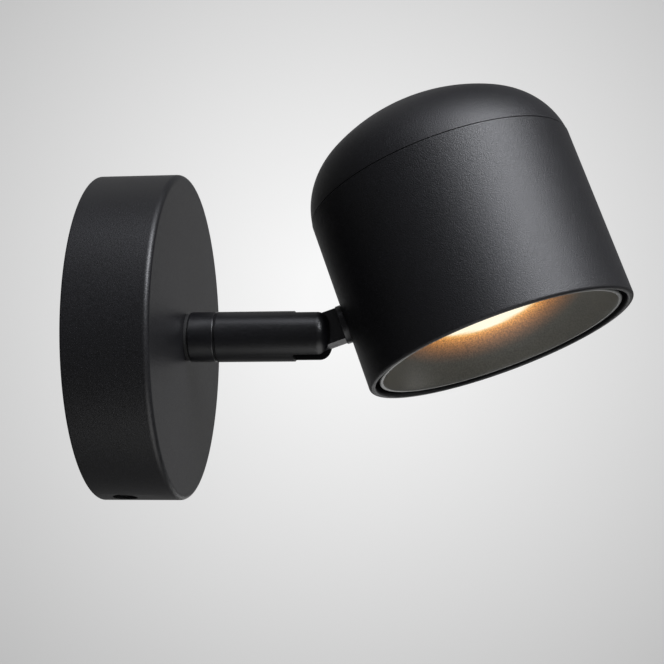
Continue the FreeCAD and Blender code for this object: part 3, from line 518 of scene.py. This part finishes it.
# Shares of the pitch, the shank's radius, the head's radius and the head's height.
screwShares = {"crestEnd": 0.2, "rootStart": 0.7, "root": 0.86, "point": 0.7, "crown": 0.72,
               "shoulder": 0.62, "crownEdge": 0.3, "socketFloor": 0.4}
screwSizes = {
    "lock": {"head": 3.4, "tall": 2.4, "shank": 2, "long": 8, "hex": 1.45, "pitch": 0.7},
    "cap": {"head": 2.7, "tall": 2.0, "shank": 1.5, "long": 18.5, "hex": 1.2, "pitch": 0.5}}


def screwMesh(name, size, finish):
    # Button head up from z 0, with a hex socket, and a threaded shank down.
    head, tall, shank, length = size["head"], size["tall"], size["shank"], size["long"]
    pitch, share = size["pitch"], screwShares
    threads = []
    for turn in range(int(length / pitch)):
        start = -turn * pitch
        threads += [(shank, start - pitch * share["crestEnd"]),
                    (shank * share["root"], start - pitch * share["rootStart"])]
    outline = [(0, tall)] + rounded([(head * share["crown"], tall),
                                     (head, tall * share["shoulder"], tall * share["crownEdge"]), (head, 0)])
    outline += threads + [(shank * share["point"], -length), (0, -length)]
    screw = turned(name, outline, finish, Matrix(), 48)
    ring = [(size["hex"] * math.cos(math.tau * k / 6), size["hex"] * math.sin(math.tau * k / 6))
            for k in range(6)]
    upright = Matrix.Rotation(math.radians(90), 4, "X")
    socket = solidBar("socket", ring, -tall - 1, -tall * share["socketFloor"], upright, finish)
    return combined(screw, [socket])


def onPoints(name, piece, places, finish, frameNow):
    # places are (point in mm, angles in degrees).
    mesh = bpy.data.meshes.new(name)
    mesh.from_pydata([Vector(point) / 1000 for point, turn in places], [], [])
    turns = mesh.attributes.new("turn", "FLOAT_VECTOR", "POINT")
    for item, (point, turn) in zip(turns.data, places):
        item.vector = [math.radians(angle) for angle in turn]
    obj = newObject(name, mesh)
    modifier = obj.modifiers.new("repeat", "NODES")
    modifier.node_group = repeating
    setInput(modifier, "Piece", piece)
    setInput(modifier, "Finish", finish)
    baked(obj)
    obj.data.transform(frameNow)
    bpy.data.objects.remove(piece)
    return cleaned(obj)


lockScrews = onPoints("lock_screws", screwMesh("lockScrew", screwSizes["lock"], blackOxide), [
    ((lockSeat["place"], 0, lockSeat["away"]), (0, 0, 0)),
    ((lockSeat["place"], 0, -lockSeat["away"]), (180, 0, 0))], blackOxide, lockFrame)
finished(lockScrews, "wall_base", "black_screw", "cover_lock_screws")

capSeat = {"place": 35.2, "rise": 41.5, "angles": (0, 120, 240)}
capPlaces = []
for angle in capSeat["angles"]:
    spot = Matrix.Rotation(math.radians(angle), 3, "Z") @ Vector((capSeat["place"], 0, capSeat["rise"]))
    capPlaces.append((spot, (180, 0, angle)))
capScrews = onPoints("cap_screws_fine", screwMesh("capScrew", screwSizes["cap"], zincSteel), capPlaces,
                     zincSteel, headFrame)
finished(capScrews, "head", "zinc_steel", "cap_screws")
print("screws made")


# ---- arm: spacer, collar, thrust washer, barrel

armSizes = {"radius": 7.75, "spacerStart": 25.3, "collarStart": 26.5, "collarEnd": 34.5,
            "barrelStart": 34.9, "barrelEnd": 69.9, "nose": 3.75, "tail": 5, "tailBore": 3.58,
            "tailBack": 11, "spacerRadius": 7.2, "washerBore": 3.58, "chamfer": 0.3, "thread": 1.0,
            "threadDeep": 0.45, "crestShare": 0.45, "threadStop": 2, "collarEdge": 0.45,
            "boreEdge": 0.1, "spacerFit": 0.05, "washerEdge": 0.08}


def makeCollar(size):
    radius, tail = size["radius"], size["tail"]
    threads = []
    rise = size["tailBack"] + size["thread"] / 2
    root = tail - size["threadDeep"]
    while rise < size["spacerStart"] - size["threadStop"]:
        threads += [(root, rise), (tail, rise + size["thread"] * size["crestShare"])]
        rise += size["thread"]
    outline = [(size["tailBore"], size["tailBack"]), (root, size["tailBack"])] + threads
    outline += [(tail, size["spacerStart"]), (tail, size["collarStart"])]
    outline += rounded([(tail, size["collarStart"]), (radius, size["collarStart"], size["collarEdge"]),
                        (radius, size["collarEnd"], size["chamfer"]),
                        (size["tailBore"], size["collarEnd"], size["boreEdge"]),
                        (size["tailBore"], size["tailBack"])])[1:-1]
    return turned("collar", outline, armCoat, wallFrame)


def makeRing(name, inner, outer, low, high, finish, edge=0.12):
    outline = rounded([(outer, low, edge), (outer, high, edge), (inner, high, edge), (inner, low, edge)], 3)
    return turned(name, outline, finish, wallFrame, 128)


finished(makeCollar(armSizes), "wall_base", "powder_coat_arm", "arm_collar")
finished(makeRing("spacer", armSizes["tail"] + armSizes["spacerFit"], armSizes["spacerRadius"],
                  armSizes["spacerStart"], armSizes["collarStart"], blackNylon),
         "wall_base", "nylon_black", "collar_spacer")
finished(makeRing("thrust_ring", armSizes["washerBore"], armSizes["spacerRadius"], armSizes["collarEnd"],
                  armSizes["barrelStart"], blackNylon, armSizes["washerEdge"]),
         "wall_base", "nylon_black", "thrust_washer")

forkSizes = {"pivot": 64.1, "half": 4, "bottom": 58.8, "corner": 0.35, "shank": 2.05, "head": 3.35,
             "seat": 5.2, "depth": 6.6, "edge": 0.22, "spindle": 3.55, "socket": 44.9, "wires": 2.6}


def makeBarrel(size, fork):
    radius, nose = size["radius"], size["nose"]
    start, end = size["barrelStart"], size["barrelEnd"]
    straight = end - nose
    outline = [(0, start)] + rounded([(0, start), (radius, start, size["chamfer"]), (radius, straight)])[1:-1]
    outline += arcOf((radius - nose, straight), nose, 0, 90, 16) + [(0, end)]
    barrel = turned("barrel", outline, armCoat, armFrame @ wallFrame)
    half, bottom, corner = fork["half"], fork["bottom"], fork["corner"]
    slot = rounded([(bottom, -half, corner), (end + 1, -half), (end + 1, half), (bottom, half, corner)], 6)
    tools = [solidBar("slot", slot, -radius - 1, radius + 1, armFrame @ crossFrame, armCoat)]
    socket = rounded([(0, start - 1), (fork["spindle"], start - 1), (fork["spindle"], fork["socket"]),
                      (fork["wires"], fork["socket"]), (fork["wires"], bottom + 1), (0, bottom + 1)])
    tools.append(turned("socket", socket, armCoat, armFrame @ wallFrame, 96))
    across = armFrame @ Matrix.Translation((mm(fork["pivot"]), 0, 0)) @ crossFrame
    hole = rounded([(0, -fork["depth"]), (fork["shank"], -fork["depth"]), (fork["shank"], fork["seat"]),
                    (fork["head"], fork["seat"]), (fork["head"], radius + 1), (0, radius + 1)])
    tools.append(turned("crossHole", hole, armCoat, across, 96))
    return combined(barrel, tools, edge=fork["edge"])


finished(makeBarrel(armSizes, forkSizes), "swivel", "powder_coat_arm", "swivel_barrel")
print("arm made")


# ---- tilt screw: button head with a hex socket in the far cheek

tiltSizes = {"head": 3.3, "tall": 1.8, "shank": 2, "long": 11.8, "hex": 1.4, "pitch": 2.9}
tiltSpot = Matrix.Translation((mm(forkSizes["pivot"]), mm(forkSizes["seat"]), 0))
tiltPlace = armFrame @ tiltSpot @ crossFrame
tiltScrew = screwMesh("tilt_bolt", tiltSizes, blackOxide)
tiltScrew.data.transform(tiltPlace)
finished(tiltScrew, "swivel", "black_screw", "tilt_screw")


# ---- knuckle: tongue, neck, flange and hollow stud

knuckleSizes = {"tongue": 5, "half": 3.5, "neckEnd": 9.6, "flange": 6.05, "flangeStart": 9.4,
                "flangeEdge": 0.35, "flangeEnd": 12.5, "stud": 4, "studEnd": 19.8, "studEdge": 0.4,
                "bore": 2.2, "boreStart": 4.1, "hole": 2.08, "edge": 0.3, "headRadius": 41.95,
                "seatHalf": 20, "ringIn": 3, "ringHalf": 1.1, "ringFit": 0.05}


def makeKnuckle(size):
    tongue, half = size["tongue"], size["half"]
    side = arcOf((0, 0), tongue, 90, 270, 32) + [(size["neckEnd"], -tongue), (size["neckEnd"], tongue)]
    body = solidBar("knuckle_fine", side, -half, half, pivotFrame, knuckleCoat)
    along = pivotFrame @ wallFrame
    flange = rounded([(0, size["flangeStart"]), (size["flange"], size["flangeStart"], size["flangeEdge"]),
                      (size["flange"], size["flangeEnd"]), (0, size["flangeEnd"])])
    disc = turned("flange", flange, knuckleCoat, along, 96)
    reach = size["seatHalf"]
    seat = [(0, -reach), (size["headRadius"], -reach), (size["headRadius"], reach), (0, reach)]
    headAxis = pivotFrame @ Matrix.Translation((mm(rest["headAway"]), 0, 0))
    combined(disc, [turned("seat", seat, knuckleCoat, headAxis, 256)])
    stud = rounded([(0, size["flangeStart"]), (size["stud"], size["flangeStart"]),
                    (size["stud"], size["studEnd"], size["studEdge"]), (0, size["studEnd"])])
    combined(body, [disc, turned("stud", stud, knuckleCoat, along, 96)], "UNION")
    across = pivotFrame @ crossFrame
    hole = [(0, -half - 1), (size["hole"], -half - 1), (size["hole"], half + 1), (0, half + 1)]
    bore = [(0, size["boreStart"]), (size["bore"], size["boreStart"]), (size["bore"], size["studEnd"] + 1),
            (0, size["studEnd"] + 1)]
    ringOut, ringHalf = tongue + size["ringFit"], size["ringHalf"]
    ring = [(size["ringIn"], -ringHalf), (ringOut, -ringHalf), (ringOut, ringHalf),
            (size["ringIn"], ringHalf)]
    return combined(body, [turned("hole", hole, knuckleCoat, across, 64),
                           turned("bore", bore, knuckleCoat, along, 64),
                           turned("ring", ring, knuckleCoat, across, 96)], edge=size["edge"])


finished(makeKnuckle(knuckleSizes), "head", "powder_coat_arm", "knuckle")
print("knuckle made")


# ---- head shell and cap

shellSizes = {"radius": 41.88, "wall": 2, "rimOut": 0.8, "rimIn": 0.6, "seam": 54.8, "seamEdge": 0.12,
              "ledge": 45, "ledgeThick": 1.5, "ledgeWide": 2.4, "stud": 4.05, "studIn": 3,
              "lugIn": 1.6, "lugOut": 3.4, "lugEdge": 0.4, "lugShift": 0.35, "overlap": 0.02}


def capSpot(angle, place):
    return headFrame @ Matrix.Rotation(math.radians(angle), 4, "Z") @ Matrix.Translation((mm(place), 0, 0))


def makeShell(size):
    radius, inside = size["radius"], size["radius"] - size["wall"]
    ledge = size["ledge"]
    outline = rounded([
        (inside, 0, size["rimIn"]), (radius, 0, size["rimOut"]), (radius, size["seam"], size["seamEdge"]),
        (inside, size["seam"], size["seamEdge"]), (inside, ledge), (inside - size["ledgeWide"], ledge),
        (inside - size["ledgeWide"], ledge - size["ledgeThick"]),
        (inside, ledge - size["ledgeThick"] - size["ledgeWide"])], 8)
    shell = turned("shell", outline, headCoat, headFrame, 360)
    holeEnd = size["studIn"] - inside
    hole = [(0, -radius - 1), (size["stud"], -radius - 1), (size["stud"], holeEnd), (0, holeEnd)]
    place = headFrame @ Matrix.Translation((0, 0, mm(rest["rimBelow"]))) @ wallFrame
    foot, top = capSeat["rise"], ledge - size["overlap"]
    lug = rounded([(size["lugIn"], foot), (size["lugOut"], foot, size["lugEdge"]), (size["lugOut"], top),
                   (size["lugIn"], top)])
    lugs = [turned("lug", lug, headCoat, capSpot(angle, capSeat["place"] + size["lugShift"]), 48)
            for angle in capSeat["angles"]]
    combined(shell, [turned("studHole", hole, headCoat, place, 64)])
    return combined(shell, lugs, "UNION")


finished(makeShell(shellSizes), "head", "powder_coat_head", "head_shell")

capSizes = {"corner": 22.64, "crown": 57.7, "straight": 52.65, "skirt": 55.05, "spigotOut": 39.8,
            "spigotIn": 37.9, "foot": 49.5, "bossRadius": 2.9, "bossTall": 14.5, "bossEdge": 0.4,
            "bossRoof": 3, "bossBore": 1.55, "overlap": 0.01}


def makeCap(size, shell):
    radius, wall = shell["radius"], shell["wall"]
    across = radius - size["corner"]
    between = size["crown"] - size["corner"]
    rise = math.sqrt(between ** 2 - across ** 2)
    crownCentre = (0, size["straight"] - rise)
    meet = math.degrees(math.atan2(rise, across))
    start = math.degrees(math.asin((size["skirt"] - size["straight"]) / size["corner"]))
    centre = (across, size["straight"])
    inner = size["corner"] - wall
    innerStart = math.degrees(math.acos((size["spigotIn"] - across) / inner))
    outline = [(size["spigotIn"], size["foot"]), (size["spigotOut"], size["foot"]),
               (size["spigotOut"], size["skirt"])]
    outline += arcOf(centre, size["corner"], start, meet, 28)
    outline += arcOf(crownCentre, size["crown"], meet, 90, 26)[1:]
    outline += arcOf(crownCentre, size["crown"] - wall, 90, meet, 20)
    outline += arcOf(centre, inner, meet, innerStart, 16)[1:]
    cap = turned("cap", outline, headCoat, headFrame, 360)
    foot, top = size["foot"] + size["overlap"], size["foot"] + size["bossTall"]
    roof = top - size["bossRoof"]
    boss = rounded([(size["bossBore"], foot), (size["bossRadius"], foot),
                    (size["bossRadius"], top, size["bossEdge"]), (0, top), (0, roof),
                    (size["bossBore"], roof)])
    bosses = [turned("boss", boss, headCoat, capSpot(angle, capSeat["place"]), 48)
              for angle in capSeat["angles"]]
    return combined(cap, bosses, "UNION")


finished(makeCap(capSizes, shellSizes), "head", "powder_coat_head", "head_cap")
print("head shell and cap made")


# ---- reflector and diffuser

# Some entries set the painted lamp light on the reflector's inside: its level, where it rises, how fast it fades,
# its cap and its lean.
bowlSizes = {"throat": 9.2, "throatRise": 25.1, "mouth": 38.4, "mouthRise": 0.8, "wall": 1.2, "curve": 34,
             "collarIn": 10.4, "collarTop": 30.9, "lip": 26.3, "paintedGlowLow": 0.068, "paintedGlowRise": 7.5,
             "paintedGlowFade": 2.3, "paintedGlowTop": 1, "paintedGlowLean": 5, "edgeRise": 0.3, "edgeDrop": 0.05,
             "collarShare": 0.66, "edgeInside": 0.85, "edgeOutside": 0.15}


def bowlArc(start, end, radius, count):
    # The arc of the given radius from start to end that bulges outward.
    first, last = Vector(start), Vector(end)
    chord = last - first
    side = Vector((chord.y, -chord.x)).normalized()
    height = math.sqrt(radius ** 2 - chord.length ** 2 / 4)
    centre = (first + last) / 2 + side * height
    begin = math.degrees(math.atan2(first.y - centre.y, first.x - centre.x))
    finish = math.degrees(math.atan2(last.y - centre.y, last.x - centre.x))
    return arcOf(centre, radius, begin, finish, count)


def makeReflector(size):
    throat, mouth, wall = size["throat"], size["mouth"], size["wall"]
    rim, collarOut = size["mouthRise"], size["collarIn"] + wall
    arcEnd, low = rim + size["edgeRise"], rim + size["edgeDrop"]
    inner = bowlArc((throat, size["throatRise"]), (mouth - wall, arcEnd), size["curve"], 40)
    outer = bowlArc((collarOut, size["throatRise"] + wall * size["collarShare"]), (mouth, arcEnd),
                    size["curve"] + wall, 40)
    edge = [(mouth - wall * size["edgeInside"], low), (mouth - wall / 2, rim),
            (mouth - wall * size["edgeOutside"], low)]
    outline = inner + edge + outer[::-1] + [
        (collarOut, size["collarTop"]), (size["collarIn"], size["collarTop"]),
        (size["collarIn"], size["lip"]), (throat, size["lip"])]
    bowl = turned("bowl", outline, reflectorFinishAndPaintedGlow, headFrame, 256)
    # Painted lamp light: each vertex gets an emission level that grows towards the throat, weaker to the sides
    # along the head's X, capped at the top.
    glow = bowl.data.attributes.new("glow", "FLOAT", "POINT")
    back = headFrame.inverted()
    for vertex, item in zip(bowl.data.vertices, glow.data):
        place = back @ vertex.co * 1000
        lean = size["paintedGlowLean"] * place.x ** 2 / (place.x ** 2 + place.y ** 2)
        paintedGlowLevel = size["paintedGlowLow"] * math.exp((place.z - lean - size["paintedGlowRise"]) / size["paintedGlowFade"])
        item.value = max(0, min(paintedGlowLevel - size["paintedGlowLow"] / 2, size["paintedGlowTop"]))
    return bowl


finished(makeReflector(bowlSizes), "head", "reflector_grey", "reflector")

glassSizes = {"radius": 10.2, "low": 26.3, "high": 27.5, "edge": 0.25}
glass = turned("frosted_glass", rounded([
    (0, glassSizes["low"]), (glassSizes["radius"], glassSizes["low"], glassSizes["edge"]),
    (glassSizes["radius"], glassSizes["high"], glassSizes["edge"]), (0, glassSizes["high"])]),
    diffuserFinish, headFrame, 96)
finished(glass, "head", "diffuser_frost", "diffuser")
print("reflector made")


# ---- small pieces that keep their CAD shape

softNodes = {
    "terminal_block": (0.3, whiteNylon), "driver_case": (0.3, whiteCase), "driver_lid": (0.3, whiteCase),
    "driver_parts": (0.35, blackParts), "tail_nut": (0.3, zincSteel), "spindle_nut": (0.3, brass),
    "knuckle_nut": (0.3, brass), "heat_sink": (0.2, castAluminium), "led_holder": (0.25, whiteNylon)}
softSlots = {entry["node"]: entry["material_slot"] for entry in frame["record"]["subparts"]}
softBodies = {node: body for body, held in frame["record"]["behaviour"]["bodies"].items() for node in held}
for node, (edge, finish) in softNodes.items():
    finished(softened(node, edge, finish), softBodies[node], softSlots[node], node)

keptNodes = {
    "earth_screw": brass, "terminal_screws": zincSteel, "driver_board": greenBoard,
    "driver_screws": zincSteel, "tail_washer": zincSteel, "stop_pin": zincSteel,
    "swivel_spindle": brass, "spindle_spring_washer": zincSteel, "friction_washers": blackNylon,
    "saddle_washer": zincSteel, "thermal_pad": greyPad, "led_board": maskedBoard, "led_chip": chipFinish,
    "holder_screws": zincSteel}
for node, finish in keptNodes.items():
    for place in nodes[node].material_slots:
        place.link = "OBJECT"
        place.material = finish
print("small pieces finished")


# ---- stage: a round pale floor that rises into its own backdrop

stageSizes = {"floorZ": -900, "flat": 1500, "bend": 900, "top": 2600}
# A painted pool of light on the backdrop, pale around a point behind the head and greyer away from it, in metres,
# and how much of it each ray sees.
stageLook = {"middle": (-0.2, 2.4, 0.1), "paintedLightWithin": 0.08, "paintedLightFadedFrom": 1.0, "seen": 0.95,
             "mirrored": 0.7, "mirroredWithin": 0.6, "mirroredFar": 0.17, "farFrom": 2.4}


def makeStage(size):
    base, flat, bend = size["floorZ"], size["flat"], size["bend"]
    outline = [(0, base)] + arcOf((flat, base + bend), bend, -90, 0, 24) + [(flat + bend, size["top"])]
    points = [(mm(x), 0, mm(z)) for x, z in outline]
    mesh = bpy.data.meshes.new("stage")
    mesh.from_pydata(points, [(i, i + 1) for i in range(len(points) - 1)], [])
    stage = newObject("stage", mesh)
    modifier = stage.modifiers.new("turning", "NODES")
    modifier.node_group = turning
    setInput(modifier, "Segments", 128)
    baked(stage)
    cleaned(stage)
    stage.data.flip_normals()
    stage.data.materials.clear()
    stage.data.materials.append(stagePaint(stageLook))


def stagePaint(look):
    # Pale studio paper: its own grey for the lamps, and where the eye or a gloss sees it a painted pool of light,
    # pale near the middle and greyer and dimmer away from it.
    material, tree, shader = newMaterial("studio_paper_pale", "#dcdcdc", 0.9)
    where = addNode(tree, "ShaderNodeTexCoord").outputs["Object"]
    reach = addNode(tree, "ShaderNodeVectorMath", {0: where, 1: look["middle"]}, operation="DISTANCE")
    level = addNode(tree, "ShaderNodeMapRange", {"Value": reach.outputs["Value"],
                                                 "From Min": look["paintedLightWithin"],
                                                 "From Max": look["paintedLightFadedFrom"]})
    tone = addNode(tree, "ShaderNodeMix", {"Factor": level.outputs[0], 6: rgb("#fcfcfc"),
                                           7: rgb("#bababa")}, data_type="RGBA")
    light = addNode(tree, "ShaderNodeEmission", {"Color": tone.outputs[2]})
    path = addNode(tree, "ShaderNodeLightPath")
    gloss = addNode(tree, "ShaderNodeMath", {0: path.outputs["Is Glossy Ray"],
                                             1: path.outputs["Is Transmission Ray"]}, operation="MAXIMUM")
    # Painted pool of light in the reflections too: gloss rays see the paper brighter near the middle and dimmer
    # far off.
    far = addNode(tree, "ShaderNodeMapRange", {"Value": reach.outputs["Value"],
                                               "From Min": look["mirroredWithin"],
                                               "From Max": look["farFrom"],
                                               "To Min": look["mirrored"], "To Max": look["mirroredFar"]})
    strength = addNode(tree, "ShaderNodeMix", {"Factor": path.outputs["Is Camera Ray"],
                                               2: far.outputs[0], 3: 1.0}, data_type="FLOAT")
    tree.links.new(strength.outputs[0], light.inputs["Strength"])
    share = addNode(tree, "ShaderNodeMath", {0: path.outputs["Is Camera Ray"], 1: look["seen"]},
                    operation="MULTIPLY")
    share = addNode(tree, "ShaderNodeMath", {0: share.outputs[0], 1: gloss.outputs[0]}, operation="MAXIMUM")
    mixed = addNode(tree, "ShaderNodeMixShader", {0: share.outputs[0], 1: shader.outputs[0],
                                                  2: light.outputs[0]})
    tree.links.new(mixed.outputs[0], tree.nodes["Material Output"].inputs["Surface"])
    return material


makeStage(stageSizes)


# ---- light: one large soft lamp from the front right and above, and five weak ones around it

lampSizes = {
    "key": {"side": 51, "rise": 46, "away": 1.0, "across": 0.64, "power": 17, "colour": "#f7f9ff"},
    "top": {"side": 5, "rise": 72, "away": 1.1, "across": 0.5, "power": 2.6, "colour": "#f4f6ff"},
    "side": {"side": 100, "rise": 8, "away": 1.2, "across": 0.6, "power": 1.2, "colour": "#ffffff"},
    "back": {"side": -145, "rise": 52, "away": 1.1, "across": 0.6, "power": 0.25, "colour": "#ffffff"},
    "under": {"side": 172, "rise": -28, "away": 1.2, "across": 0.4, "power": 0.5, "colour": "#ffffff"},
    "bounce": {"side": 35, "rise": -60, "away": 0.8, "across": 0.8, "power": 2.6, "colour": "#ffffff"}}
target = (cadLow + cadHigh) / 2


def makeLamp(name, size):
    side, rise = math.radians(size["side"]), math.radians(size["rise"])
    towards = Vector((math.sin(side) * math.cos(rise), -math.cos(side) * math.cos(rise), math.sin(rise)))
    data = bpy.data.lights.new(name, "AREA")
    data.shape = "DISK"
    data.size = size["across"]
    data.energy = size["power"]
    data.color = rgb(size["colour"])[:3]
    lamp = bpy.data.objects.new(name, data)
    lamp.visible_camera = False
    lamp.location = target + towards * size["away"]
    lamp.rotation_euler = towards.to_track_quat("Z", "Y").to_euler()
    bpy.context.scene.collection.objects.link(lamp)


for name, size in lampSizes.items():
    makeLamp(name + "Lamp", size)


def makeWorld(size):
    # Weak even light for the object, and a pale grey where the camera looks past the stage.
    world = bpy.data.worlds.new("studio")
    bpy.context.scene.world = world
    world.use_nodes = True
    tree = world.node_tree
    shader = tree.nodes["Background"]
    shader.inputs["Color"].default_value = rgb(size["colour"])
    path = addNode(tree, "ShaderNodeLightPath")
    strength = addNode(tree, "ShaderNodeMix", {"Factor": path.outputs["Is Camera Ray"], 2: size["onObject"],
                                               3: size["seen"]}, data_type="FLOAT")
    tree.links.new(strength.outputs[0], shader.inputs["Strength"])


makeWorld({"colour": "#e6e6e6", "onObject": 0.1, "seen": 0.6})


# ---- camera, where the photograph was taken from

cameraSizes = {"x": 127.7, "y": -454.1, "z": -3.2, "yaw": 7.22, "pitch": 0.55, "roll": 0.53,
               "focal": 1500, "picture": 664, "sensor": 36, "near": 0.01, "far": 20}


def makeCamera(size):
    data = bpy.data.cameras.new("camera")
    data.sensor_width = size["sensor"]
    data.lens = size["sensor"] * size["focal"] / size["picture"]
    data.clip_start, data.clip_end = size["near"], size["far"]
    camera = bpy.data.objects.new("camera", data)
    yaw, roll, pitch = [Matrix.Rotation(math.radians(size[turn]), 4, axis)
                        for turn, axis in (("yaw", "Z"), ("roll", "Y"), ("pitch", "X"))]
    forward = Matrix.Rotation(math.radians(90), 4, "X")  # a camera looks along its own -Z
    spot = Vector((size["x"], size["y"], size["z"])) / 1000
    camera.matrix_world = Matrix.Translation(spot) @ yaw @ roll @ pitch @ forward
    bpy.context.scene.collection.objects.link(camera)
    bpy.context.scene.camera = camera


makeCamera(cameraSizes)
bpy.context.scene.view_settings.view_transform = "Standard"
print("stage, lamps and camera made")
